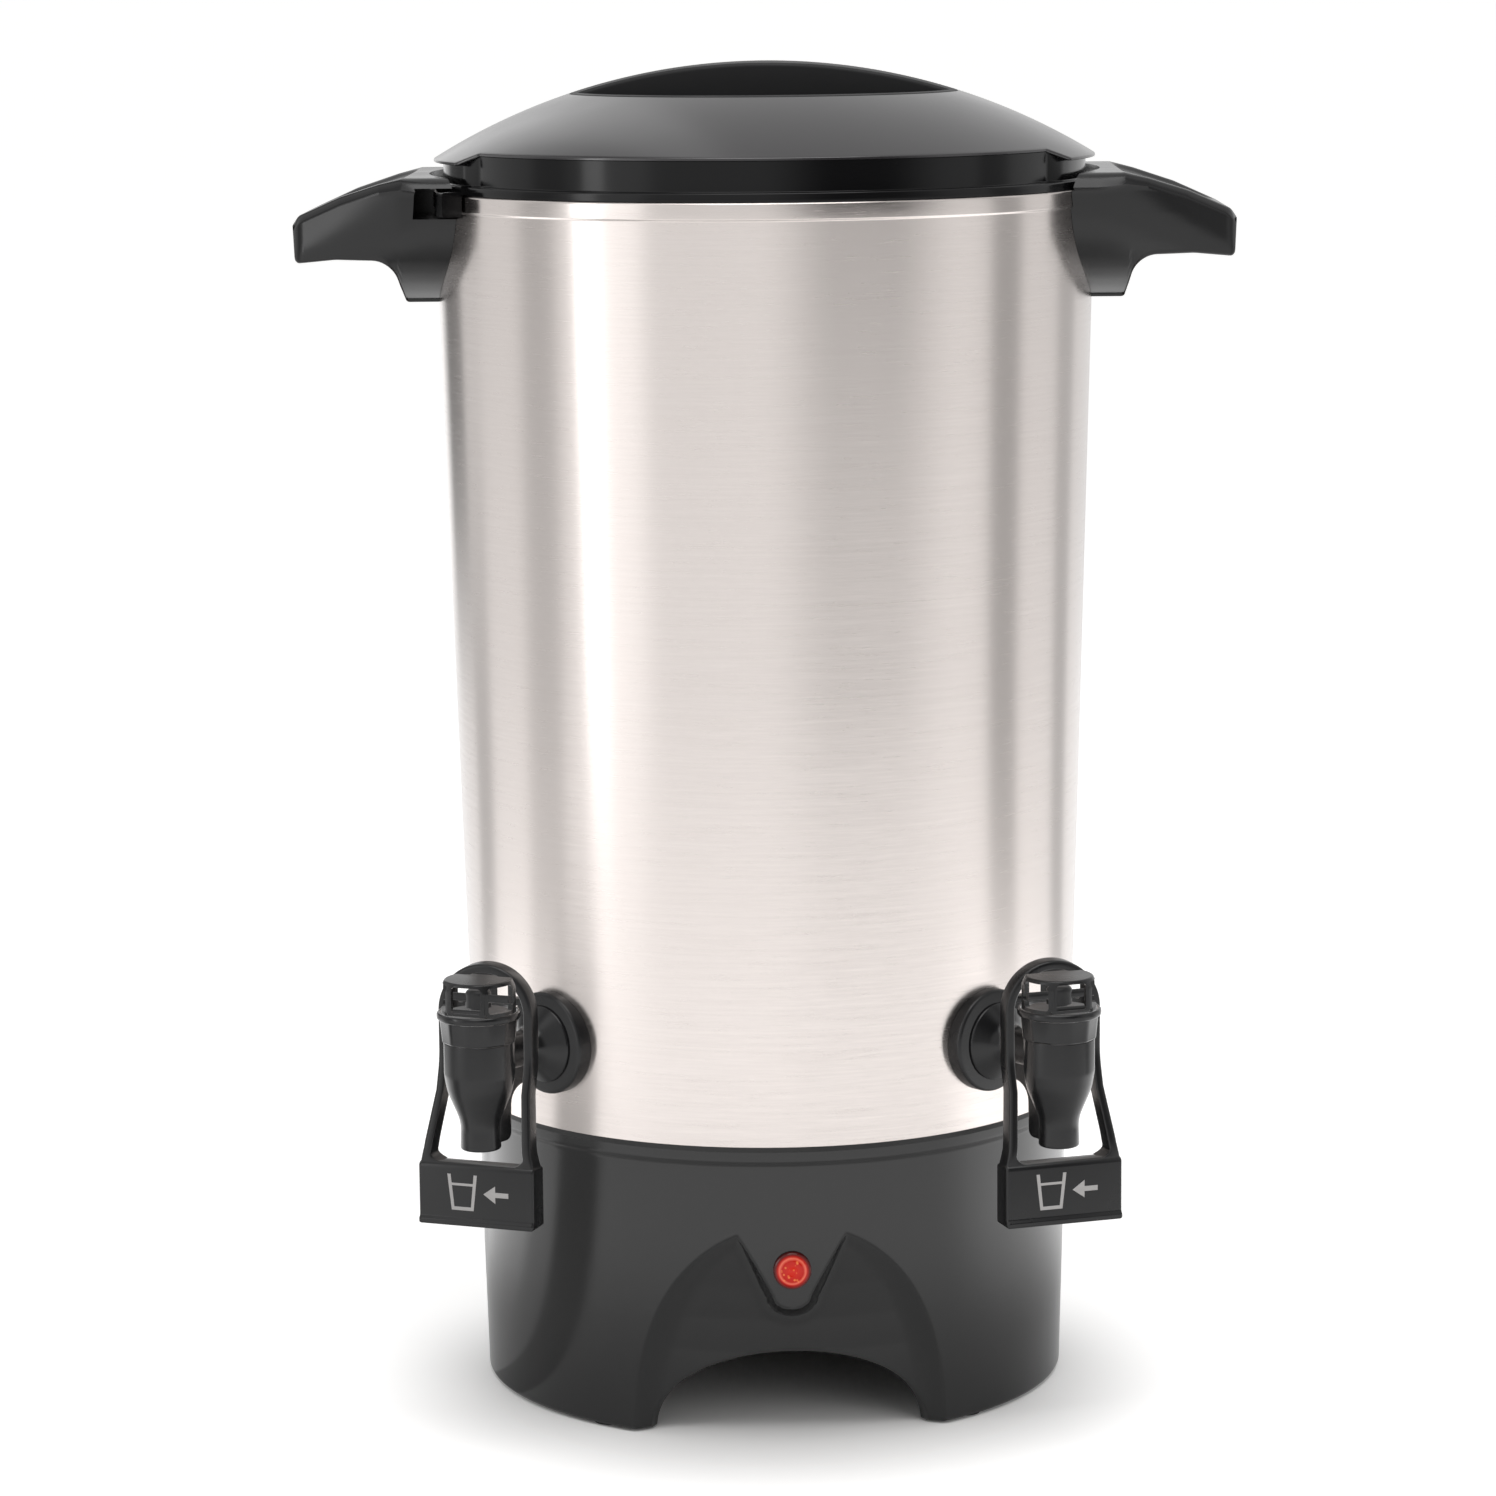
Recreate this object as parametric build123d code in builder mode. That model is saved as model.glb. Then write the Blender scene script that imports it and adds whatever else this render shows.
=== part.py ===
"""Percolator coffee urn with two press-cup taps, in millimetres.

The origin is on the table under the vessel's axis, +Z is up and the taps and the
pilot light face -Y. An azimuth is counted from -Y towards +X.
"""
from build123d import *
from math import acos, asin, cos, degrees, pi, radians, sin, sqrt
import os

os.makedirs("parts", exist_ok=True)

# ---------------------------------------------------------------- driving dimensions
running_gap = 0.08           # radial play of a shaft in its hole
slip_gap = 0.3               # play between pieces that only pass each other
seat_gap = 0.03              # play left where a curved face is seated on another

# base
foot_gap = 0.8               # the rubber feet stand this far proud of the skirt
base_height = 94.6
base_foot_r = 95.2
base_belly_r = 96.2
base_belly_height = 40.0
base_neck_height = 90.0
base_neck_r = 97.3
ledge_r = 98.2
ledge_thickness = 2.8
ledge_inner_r = 88.0
base_wall = 2.6
base_clocking = 4.0          # the base is held by one middle nut, so it sits turned a little
arch_half_width = 50.0
arch_height = 73.0
arch_side_slope = 0.53       # outward growth of the arch recess per mm outward
inner_arch_half_width = 43.5
inner_arch_height = 27.5
tongue_peak_x = 16.3
tongue_tip_x = 5.6
tongue_shoulder_height = 47.5
tongue_tip_height = 43.6
recess_depth = 7.0
plate_height = 30.5
plate_thickness = 2.0
foot_r = 5.0
foot_thickness = 2.4

# pilot light
lens_height = 56.3
lens_head_r = 6.0
lens_barrel_r = 4.4
lens_rise = 2.2

# vessel
gasket_thickness = 1.6
vessel_height = 293.7
vessel_foot_r = 98.6
vessel_neck_r = 106.0
vessel_wall = 0.8
rim_band_height = 5.6
rim_step = 0.6               # the hem stands this far out from the cone
rim_wall = 1.6
floor_inset = 7.8
floor_corner = 5.0

# heater well and heaters
well_r = 16.5
well_depth = 12.0
well_wall = 1.2
well_flange_r = 25.0
heater_plate_r = 60.0
heater_plate_thickness = 4.0
brew_ring_r = 42.0
brew_tube_r = 3.2
warm_ring_r = 52.5
warm_tube_r = 2.3
tie_rod_r = 3.0

# percolator
tube_r = 5.0
tube_wall = 0.8
tube_rise = 10.0             # the pump tube over the basket's cover
basket_r = 62.0
basket_depth = 70.0
basket_headroom = 28.3       # from the basket's rim up to the lid's seat
basket_wall = 1.0
pump_foot_r = 15.4

# lid
lid_gap = 0.4                # the lid flange over the steel rim
flange_inset = 0.8           # the lid's flange stays this far inside the hem
lid_flange_thickness = 2.5
band_inset = 4.8             # the lid's band stands this far in from its flange
lid_band_height = 9.4
lid_wall = 3.2
plug_play = 2.7              # from the lid's plug out to the hem's inner face
lid_plug_depth = 13.0
dome_radius = 202.8
dome_overhang = 0.2          # the dome's edge over the band
dome_lip = 0.8
dome_wall = 2.2
ear_inset = 0.5              # an ear stays this far inside the flange's edge
ear_half_angle = 27.0
grip_hole_r = 62.2
grip_bar_width = 27.0
grip_pan_depth = 15.0
pan_wall = 2.0
seal_height = 4.0

# lid lock
lug_start = 26.3             # degrees from the handle's axis, lid set on but not turned
lug_span = 2.4
lug_play = 0.6               # radial play of the lugs over the rim and inside the handles
lug_web = 1.4
lug_length = 6.8             # how far a lug stands out
lug_height = 7.7
lug_rise = 0.9               # top of a lug over the lid's seat

# handles
handle_reach = 150.0
handle_half_width = 47.0
handle_end_half_width = 26.5
handle_rise = 5.4            # top of the handle's root over the vessel's top
handle_under_drop = 20.1     # its underside below the vessel's top
handle_leg_drop = 35.5
handle_leg_depth = 9.8       # thickness of the leg at its foot
handle_tip_drop = 15.4       # end face's top edge below the root's top
handle_dish = 1.6
slot_play = 1.0
slot_depth_play = 4.5

# taps
tap_azimuth = 43.8
tap_axis_r = 130.6
shank_height = 124.6
shank_r = 5.6
bell_r = 12.3
washer_r = 16.3
washer_thickness = 3.8
thread_r = 6.2
barrel_r = 11.1
chamber_r = 7.6
seat_drop = 12.6             # levels of the tap's pieces, counted from the shank's height
nozzle_r = 6.4
nozzle_bore_r = 4.2
nozzle_drop = 29.0
bonnet_rise = 5.6
bonnet_height = 9.6
bonnet_foot_r = 11.8
bonnet_crown_r = 12.6
bonnet_lip_r = 13.1
bonnet_lip_height = 2.4
bonnet_recess = 1.6
rocker_plate_thickness = 1.0
stem_r = 2.6
stem_head_r = 4.0

# tap lever
lever_turn = 25.0            # the lever stands turned this far round from the shank
hood_r = 11.7
hood_wall = 2.0
hood_height = 10.6           # over the foot of the lever
strap_rise = 3.5             # top of the strap over the hood
bead_x = 8.8                 # the rounded front edge on which the lever rocks
bead_r = 1.2
pin_rise = 3.2               # the pin over the middle of the rounded edge
pin_r = 1.25
arm_outer = 15.8
arm_thickness = 2.7
arm_depth = 6.6
arm_set_back = 7.5
arm_bend_drop = 2.6
paddle_half_width = 19.4
paddle_drop = 33.0           # top of the paddle below the shank
paddle_tall = 20.1
paddle_depth = 9.0
paddle_front = 5.0
paddle_lip = 0.8
paddle_wall = 2.0

# ---------------------------------------------------------------- places worked out from them
seam_height = base_height + gasket_thickness
vessel_top = seam_height + vessel_height
rim_foot = vessel_top - rim_band_height
rim_r = vessel_neck_r + rim_step
lid_flange_r = rim_r - flange_inset
lid_band_r = lid_flange_r - band_inset
lid_plug_r = rim_r - rim_wall - plug_play
dome_edge_r = lid_band_r + dome_overhang
ear_r = lid_flange_r - ear_inset
floor_level = seam_height + floor_inset
lid_seat = vessel_top + lid_gap
band_foot = lid_seat + lid_flange_thickness
band_top = band_foot + lid_band_height
dome_centre = band_top + dome_lip - sqrt(dome_radius**2 - dome_edge_r**2)
ear_foot = dome_centre + sqrt(dome_radius**2 - ear_r**2) - dome_lip
lug_inner_r = rim_r + lug_play
lug_web_r = lug_inner_r + lug_web
lug_r = lug_inner_r + lug_length
lug_top = lid_seat + lug_rise
lug_foot = lug_top - lug_height
slot_r = lug_r + slot_depth_play
slot_roof = lug_top + slot_play
slot_floor = lug_foot - slot_play
handle_inner_r = lug_web_r + lug_play
handle_top = vessel_top + handle_rise
handle_underside = vessel_top - handle_under_drop
handle_leg_foot = vessel_top - handle_leg_drop
basket_foot_height = lid_seat - basket_headroom - basket_depth
seat_level = shank_height - seat_drop
nozzle_foot = shank_height - nozzle_drop
bonnet_foot = shank_height + bonnet_rise
bonnet_top = bonnet_foot + bonnet_height
bonnet_floor = bonnet_top - bonnet_recess
paddle_top = shank_height - paddle_drop
paddle_foot = paddle_top - paddle_tall
arm_bend_height = shank_height - arm_bend_drop


def wall_r(height):
    """Outer radius of the tapered steel wall at a height."""
    share = (height - seam_height) / (rim_foot - seam_height)
    return vessel_foot_r + (vessel_neck_r - vessel_foot_r) * share


def base_r(height):
    """Outer radius of the base skirt at a height."""
    if height < base_belly_height:
        share = (height - foot_gap) / (base_belly_height - foot_gap)
        return base_foot_r + (base_belly_r - base_foot_r) * share
    share = (height - base_belly_height) / (base_neck_height - base_belly_height)
    return base_belly_r + (base_neck_r - base_belly_r) * share


def dome_z(radius, sphere=dome_radius):
    """Height of a sphere about the dome's centre at a radius from the axis."""
    return dome_centre + sqrt(sphere**2 - radius**2)


def outward(azimuth):
    """Unit vector away from the vessel's axis at an azimuth."""
    return Vector(sin(radians(azimuth)), -cos(radians(azimuth)), 0)


def radial_plane(azimuth, origin=(0, 0, 0)):
    """Upright plane with x pointing outward at an azimuth and y pointing up."""
    x_dir = outward(azimuth)
    return Plane(origin=origin, x_dir=x_dir, z_dir=x_dir.cross(Vector(0, 0, 1)))


def facing_plane(azimuth, origin=(0, 0, 0)):
    """Upright plane that faces outward at an azimuth, with y pointing up."""
    normal = outward(azimuth)
    return Plane(origin=origin, x_dir=Vector(0, 0, 1).cross(normal), z_dir=normal)


def outline(plane, points, radii=0):
    """A closed outline with rounded corners, as a face on a plane."""
    corner_radii = radii if isinstance(radii, (list, tuple)) else [radii] * len(points)
    with BuildSketch(plane) as face:
        with BuildLine():
            if any(corner_radii):
                FilletPolyline(*points, radius=corner_radii, close=True)
            else:
                Polyline(*points, close=True)
        make_face()
    return face.sketch


def turned(points, radii=0, mode=Mode.ADD):
    """Turn an outline of (radius, height) points about the vessel's axis."""
    revolve(outline(Plane.XZ, points, radii), axis=Axis.Z, mode=mode)


def sector(points, start, span, radii=0, mode=Mode.ADD):
    """Turn an outline of (radius, height) points through a sector that starts at an azimuth."""
    profile = outline(radial_plane(start), points, radii)
    revolve(profile, axis=Axis.Z, revolution_arc=span, mode=mode)


def box_points(low_x, high_x, low_y, high_y):
    """The four corners of a rectangle."""
    return [(low_x, low_y), (high_x, low_y), (high_x, high_y), (low_x, high_y)]


def finish(piece, name):
    """Label a piece and write its STEP file."""
    piece.part.label = name
    export_step(piece.part, f"parts/{name}.step")


def half_turned(piece):
    """A copy of a piece turned half a turn about the vessel's axis."""
    with BuildPart() as other:
        with Locations(Location((0, 0, 0), (0, 0, 180))):
            add(piece.part)
    return other


def mirrored(piece):
    """The right-hand copy of a left-hand piece."""
    with BuildPart() as other:
        mirror(piece.part, about=Plane.YZ)
    return other


# ---------------------------------------------------------------- vessel
tap_azimuths = (-tap_azimuth, tap_azimuth)
well_hole_r = well_r + well_wall + 0.3
handle_screw_heights = (handle_leg_foot + 6.4, handle_leg_foot + 18.4)
screw_r = 1.9
screw_hole_r = screw_r + 0.15

with BuildPart() as vessel:
    turned(
        [
            (vessel_foot_r, seam_height),
            (vessel_neck_r, rim_foot),
            (rim_r, rim_foot + 0.6),
            (rim_r, vessel_top),
            (rim_r - rim_wall, vessel_top),
            (rim_r - rim_wall, rim_foot),
            (wall_r(rim_foot - 1.5) - vessel_wall, rim_foot - 1.5),
            (wall_r(floor_level) - vessel_wall, floor_level),
            (well_hole_r, floor_level),
            (well_hole_r, floor_level - vessel_wall),
            (wall_r(floor_level - vessel_wall) - vessel_wall, floor_level - vessel_wall),
            (vessel_foot_r - vessel_wall, seam_height),
        ],
        [0, 0, 0, 0.7, 0.7, 0, 0, floor_corner, 0, 0, 0, 0],
    )
    for azimuth in tap_azimuths:
        hole_plane = facing_plane(azimuth, Vector(0, 0, shank_height) + outward(azimuth) * 80)
        with BuildSketch(hole_plane):
            Circle(thread_r + slip_gap)
        extrude(amount=30, mode=Mode.SUBTRACT)
    for azimuth in (-90, 90):
        for height in handle_screw_heights:
            with BuildSketch(facing_plane(azimuth, Vector(0, 0, height) + outward(azimuth) * 90)):
                Circle(screw_hole_r)
            extrude(amount=20, mode=Mode.SUBTRACT)
finish(vessel, "vessel")

with BuildPart() as seam_gasket:
    turned(
        [
            (ledge_inner_r + 2.0, base_height),
            (vessel_foot_r - 0.2, base_height),
            (vessel_foot_r - 0.2, seam_height),
            (vessel_foot_r - vessel_wall - slip_gap, seam_height),
            (vessel_foot_r - vessel_wall - slip_gap, seam_height + 3.2),
            (vessel_foot_r - vessel_wall - slip_gap - 1.8, seam_height + 3.2),
            (vessel_foot_r - vessel_wall - slip_gap - 1.8, seam_height),
            (ledge_inner_r + 2.0, seam_height),
        ]
    )
finish(seam_gasket, "seam_gasket")

# ---------------------------------------------------------------- heater well in the floor
gasket_t = 1.0
well_top = floor_level + gasket_t
well_floor = well_top - well_depth
boss_r = 6.0
boss_length = 6.0

with BuildPart() as well_gasket:
    turned(box_points(well_hole_r + 0.8, well_flange_r - 0.4, floor_level, well_top))
finish(well_gasket, "well_gasket")

with BuildPart() as heat_well:
    turned(
        [
            (well_r, well_top + well_wall),
            (well_flange_r, well_top + well_wall),
            (well_flange_r, well_top),
            (well_r + well_wall, well_top),
            (well_r + well_wall, well_floor - well_wall),
            (boss_r, well_floor - well_wall),
            (boss_r, well_floor - well_wall - boss_length),
            (tie_rod_r + running_gap, well_floor - well_wall - boss_length),
            (tie_rod_r + running_gap, well_floor - well_wall - 0.6),
            (0, well_floor - well_wall - 0.6),
            (0, well_floor),
            (well_r, well_floor),
        ],
        [0, 0.5, 0, 0, 0.8, 0, 0, 0, 0, 0, 0, 2.0],
    )
finish(heat_well, "heat_well")

floor_under = floor_level - vessel_wall
nut_foot = floor_under - 5.0
with BuildPart() as well_nut:
    turned(box_points(well_r + well_wall + running_gap, well_flange_r - 1.0, nut_foot, floor_under), 0.4)
    with PolarLocations(well_flange_r - 1.0, 8):
        with Locations(Location((0, 0, nut_foot))):
            Cylinder(1.6, 5.0, align=(Align.CENTER, Align.CENTER, Align.MIN), mode=Mode.SUBTRACT)
finish(well_nut, "well_nut")

# ---------------------------------------------------------------- heaters and their controls
plate_under = floor_under - heater_plate_thickness
with BuildPart() as heater_plate:
    turned(box_points(well_flange_r + 0.5, heater_plate_r, plate_under, floor_under), 0.6)
finish(heater_plate, "heater_plate")


def sheathed_ring(ring_r, tube_radius, start, leg_length):
    """An open ring of sheathed element with its two cold ends turned down."""
    gap_angle = 34
    centre_z = plate_under - tube_radius
    with BuildPart() as ring:
        with BuildSketch(radial_plane(start + gap_angle / 2)):
            with Locations((ring_r, centre_z)):
                Circle(tube_radius)
        revolve(axis=Axis.Z, revolution_arc=360 - gap_angle)
        for side in (-1, 1):
            foot = outward(start + side * gap_angle / 2) * ring_r + Vector(0, 0, centre_z - leg_length)
            with BuildSketch(Plane(origin=foot)):
                Circle(tube_radius)
            extrude(amount=leg_length)
            with Locations(foot + Vector(0, 0, centre_z - foot.Z)):
                Sphere(tube_radius)
            with BuildSketch(Plane(origin=foot - Vector(0, 0, 5))):
                Circle(tube_radius * 0.4)
            extrude(amount=6)
    return ring


brew_element = sheathed_ring(brew_ring_r, brew_tube_r, 180, 8)
finish(brew_element, "brew_element")
warm_element = sheathed_ring(warm_ring_r, warm_tube_r, 150, 8)
finish(warm_element, "warm_element")

control_r = (well_flange_r - 1.0 + brew_ring_r - brew_tube_r) / 2
thermostat_place = outward(200) * control_r
with BuildPart() as thermostat:
    with BuildSketch(Plane(origin=thermostat_place + Vector(0, 0, plate_under - 7))):
        Circle(6.0)
    extrude(amount=7)
    for side in (-1, 1):
        with BuildSketch(Plane(origin=thermostat_place + Vector(side * 3.0, 0, plate_under - 14))):
            Rectangle(0.8, 4.0)
        extrude(amount=8)
finish(thermostat, "thermostat")

fuse_place = outward(120) * control_r
with BuildPart() as thermal_fuse:
    fuse_axis = facing_plane(30, fuse_place + Vector(0, 0, plate_under - 2.2) - outward(30) * 7)
    with BuildSketch(fuse_axis):
        Circle(2.2)
    extrude(amount=14)
    with BuildSketch(facing_plane(30, fuse_axis.origin - outward(30) * 5)):
        Circle(0.6)
    extrude(amount=24)
finish(thermal_fuse, "thermal_fuse")

# ---------------------------------------------------------------- base skirt
front = facing_plane(base_clocking)
recess_r = base_belly_r - recess_depth


def arch_outline(plane, distance):
    """The recess outline on a plane in front of the axis: an arch with a tongue."""
    edge_distance = sqrt(base_belly_r**2 - arch_half_width**2)
    grow = (distance - edge_distance) * arch_side_slope
    half = arch_half_width + grow
    rise = arch_height + (distance - base_belly_r) * arch_side_slope
    narrow = (distance - base_belly_r) * arch_side_slope * 0.8
    peak_x = tongue_peak_x - narrow
    tip_x = tongue_tip_x - narrow
    shoulder = tongue_shoulder_height + narrow
    tip = tongue_tip_height + narrow
    peak_angle = degrees(acos(peak_x / half))
    peak_z = rise * sin(radians(peak_angle))
    with BuildSketch(plane) as face:
        with BuildLine():
            EllipticalCenterArc((0, 0), half, rise, start_angle=0, arc_size=peak_angle)
            Line((peak_x, peak_z), (tip_x, shoulder))
            ThreePointArc((tip_x, shoulder), (0, tip), (-tip_x, shoulder))
            Line((-tip_x, shoulder), (-peak_x, peak_z))
            EllipticalCenterArc((0, 0), half, rise, start_angle=180 - peak_angle, arc_size=peak_angle)
            Line((-half, 0), (-half, -6))
            Line((-half, -6), (half, -6))
            Line((half, -6), (half, 0))
        make_face()
    return face.sketch.face()


with BuildPart() as arch_pocket:
    near_and_far = [base_belly_r - 19, ledge_r + 3]
    loft([arch_outline(front.offset(distance), distance) for distance in near_and_far], ruled=True)
    turned(
        [
            (0, -10),
            (recess_r, -10),
            (recess_r, inner_arch_height),
            (recess_r + 2.2, inner_arch_height + 22),
            (recess_r + 5.0, inner_arch_height + 37),
            (ledge_r, inner_arch_height + 50),
            (0, inner_arch_height + 50),
        ],
        [0, 0, 30, 30, 20, 0, 0],
        mode=Mode.SUBTRACT,
    )

liner_half_angle = degrees(asin(arch_half_width / base_belly_r)) + 2.2
inlet_azimuth = 180 + base_clocking
inlet_height = 60.0
inlet_width = 27.0
inlet_tall = 20.0
plate_r = recess_r - base_wall - 0.6
plate_boss_r = plate_r - 6.0
plate_boss_azimuths = [base_clocking + 50 + 80 * step for step in range(4)]
plate_screw_r = 1.9

with BuildPart() as base_skirt:
    turned(
        [
            (base_foot_r, foot_gap),
            (base_belly_r, base_belly_height),
            (base_neck_r, base_neck_height),
            (ledge_r, base_neck_height + 1.4),
            (ledge_r, base_height),
            (ledge_inner_r, base_height),
            (ledge_inner_r, base_height - ledge_thickness),
            (base_neck_r - base_wall, base_height - ledge_thickness),
            (base_belly_r - base_wall, base_belly_height),
            (base_foot_r - base_wall, foot_gap),
        ],
        [1.2, 0, 1.0, 0.5, 0.6, 0, 0, 0, 0, 0],
    )
    sector(
        [
            (recess_r - base_wall, foot_gap),
            (base_foot_r - 1.0, foot_gap),
            (base_neck_r - 2.0, inner_arch_height + 54),
            (recess_r + 2.4, inner_arch_height + 54),
            (recess_r - base_wall + 2.2, inner_arch_height + 22),
            (recess_r - base_wall, inner_arch_height),
        ],
        base_clocking - liner_half_angle,
        2 * liner_half_angle,
    )
    add(arch_pocket.part, mode=Mode.SUBTRACT)
    with BuildSketch(front.offset(recess_r - 20)):
        with BuildLine():
            EllipticalCenterArc((0, 0), inner_arch_half_width, inner_arch_height, start_angle=0, arc_size=180)
            Polyline(
                (-inner_arch_half_width, 0),
                (-inner_arch_half_width, -6),
                (inner_arch_half_width, -6),
                (inner_arch_half_width, 0),
            )
        make_face()
    extrude(amount=40, mode=Mode.SUBTRACT)
    for azimuth in plate_boss_azimuths:
        boss_side = outline(
            radial_plane(azimuth),
            [
                (plate_boss_r - 5, plate_height + plate_thickness),
                (base_belly_r - 1.0, plate_height + plate_thickness),
                (base_belly_r - 1.0, plate_height + plate_thickness + 20),
                (plate_boss_r - 5, plate_height + plate_thickness + 12),
            ],
        )
        extrude(boss_side, amount=4.5, both=True)
        hole_foot = outward(azimuth) * plate_boss_r + Vector(0, 0, plate_height)
        with BuildSketch(Plane(origin=hole_foot)):
            Circle(plate_screw_r + 0.1)
        extrude(amount=11, mode=Mode.SUBTRACT)
    lens_seat = facing_plane(base_clocking, Vector(0, 0, lens_height) + outward(base_clocking) * 60)
    with BuildSketch(lens_seat):
        Circle(lens_barrel_r + running_gap)
    extrude(amount=60, mode=Mode.SUBTRACT)
    inlet_front = facing_plane(inlet_azimuth, Vector(0, 0, inlet_height) + outward(inlet_azimuth) * 60)
    with BuildSketch(inlet_front):
        RectangleRounded(inlet_width + 0.4, inlet_tall + 0.4, 2.2)
    extrude(amount=60, mode=Mode.SUBTRACT)
    foot_azimuths = [base_clocking + 40, base_clocking + 140, base_clocking + 220, base_clocking + 320]
    for azimuth in foot_azimuths:
        pad_centre = outward(azimuth) * (base_foot_r - foot_r - 1.6)
        with BuildSketch(Plane(origin=pad_centre + Vector(0, 0, foot_gap))):
            Circle(foot_r + 1.5)
        extrude(amount=foot_thickness + 3)
        with BuildSketch(Plane(origin=pad_centre + Vector(0, 0, foot_gap))):
            Circle(foot_r)
        extrude(amount=foot_thickness - foot_gap, mode=Mode.SUBTRACT)
finish(base_skirt, "base_skirt")

with BuildPart() as base_feet:
    for azimuth in foot_azimuths:
        pad_centre = outward(azimuth) * (base_foot_r - foot_r - 1.6)
        with BuildSketch(Plane(origin=pad_centre)):
            Circle(foot_r)
        extrude(amount=foot_thickness)
finish(base_feet, "base_feet")

# ---------------------------------------------------------------- base plate and the middle tie
with BuildPart() as base_plate:
    turned(
        [
            (tie_rod_r + 0.2, plate_height),
            (plate_r, plate_height),
            (plate_r, plate_height + plate_thickness),
            (tie_rod_r + 0.2, plate_height + plate_thickness),
        ]
    )
    for azimuth in plate_boss_azimuths:
        with BuildSketch(Plane(origin=outward(azimuth) * plate_boss_r + Vector(0, 0, plate_height))):
            Circle(plate_screw_r + 0.2)
        extrude(amount=plate_thickness, mode=Mode.SUBTRACT)
    for row in (-1, 0, 1):
        with BuildSketch(Plane(origin=(row * 16, 42, plate_height))):
            SlotOverall(26, 4, rotation=90)
        extrude(amount=plate_thickness, mode=Mode.SUBTRACT)
finish(base_plate, "base_plate")

with BuildPart() as plate_screws:
    for azimuth in plate_boss_azimuths:
        screw_foot = outward(azimuth) * plate_boss_r + Vector(0, 0, plate_height)
        with BuildSketch(Plane(origin=screw_foot)):
            Circle(plate_screw_r)
        extrude(amount=10)
        with BuildSketch(Plane(origin=screw_foot)):
            Circle(3.6)
            Rectangle(4.4, 0.9, mode=Mode.SUBTRACT)
            Rectangle(0.9, 4.4, mode=Mode.SUBTRACT)
        extrude(amount=-1.2)
        with BuildSketch(Plane(origin=screw_foot)):
            Circle(3.6)
        extrude(amount=-0.7)
finish(plate_screws, "plate_screws")

rod_top = well_floor - well_wall - 0.8
with BuildPart() as tie_rod:
    with BuildSketch(Plane(origin=(0, 0, plate_height - 8))):
        Circle(tie_rod_r)
    extrude(amount=rod_top - plate_height + 8)
    chamfer(tie_rod.edges().group_by(Axis.Z)[0], 0.6)
finish(tie_rod, "tie_rod")

with BuildPart() as tie_nut:
    with BuildSketch(Plane(origin=(0, 0, plate_height - 5.5))):
        RegularPolygon(6.2, 6)
        Circle(tie_rod_r + running_gap, mode=Mode.SUBTRACT)
    extrude(amount=5.5)
finish(tie_nut, "tie_nut")

# ---------------------------------------------------------------- pilot light
lens_level = Vector(0, 0, lens_height)
lens_out = outward(base_clocking)
lens_axis = Axis(lens_level, lens_out)
lens_side = radial_plane(base_clocking, lens_level)
lens_back = base_r(lens_height + lens_head_r) + 0.05
lens_tail = recess_r - 5.0
clip_front = recess_r - 0.8

with BuildPart() as pilot_lens:
    with BuildSketch(front.offset(lens_back)):
        with Locations((0, lens_height)):
            RegularPolygon(lens_head_r, 12)
    extrude(amount=lens_rise * 0.45)
    with BuildSketch(front.offset(lens_back + lens_rise * 0.45)):
        with Locations((0, lens_height)):
            RegularPolygon(lens_head_r, 12)
    extrude(amount=lens_rise * 0.55, taper=50)
    with BuildSketch(front.offset(lens_tail)):
        with Locations((0, lens_height)):
            Circle(lens_barrel_r)
    extrude(amount=lens_back - lens_tail)
    with BuildSketch(front.offset(lens_tail)):
        with Locations((0, lens_height)):
            Circle(3.1)
    extrude(amount=lens_back - lens_tail - 1.0, mode=Mode.SUBTRACT)
finish(pilot_lens, "pilot_lens")

with BuildPart() as lens_clip:
    with BuildSketch(front.offset(clip_front)):
        with Locations((0, lens_height)):
            Circle(7.4)
            Circle(lens_barrel_r + 0.05, mode=Mode.SUBTRACT)
    extrude(amount=-2.0)
finish(lens_clip, "lens_clip")

with BuildPart() as pilot_lamp:
    lamp_outline = outline(
        lens_side,
        [
            (lens_tail - 6, 0),
            (lens_tail - 6, 3.0),
            (lens_tail + 4, 3.0),
            (lens_tail + 4, 2.3),
            (lens_tail + 9, 2.3),
            (lens_tail + 9, 0),
        ],
        [0, 0.4, 0, 0, 2.0, 0],
    )
    revolve(lamp_outline, axis=lens_axis)
    for side in (-1, 1):
        with BuildSketch(front.offset(lens_tail - 6)):
            with Locations((side * 1.6, lens_height)):
                Circle(0.5)
        extrude(amount=-14)
finish(pilot_lamp, "pilot_lamp")

# ---------------------------------------------------------------- power inlet at the back
rear = facing_plane(inlet_azimuth)
inlet_back = 70.0
inlet_floor = 76.0
inlet_face = base_r(inlet_height) + 2.2
pin_places = ((-6.5, inlet_height - 1.5), (6.5, inlet_height - 1.5), (0, inlet_height + 2.8))

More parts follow.
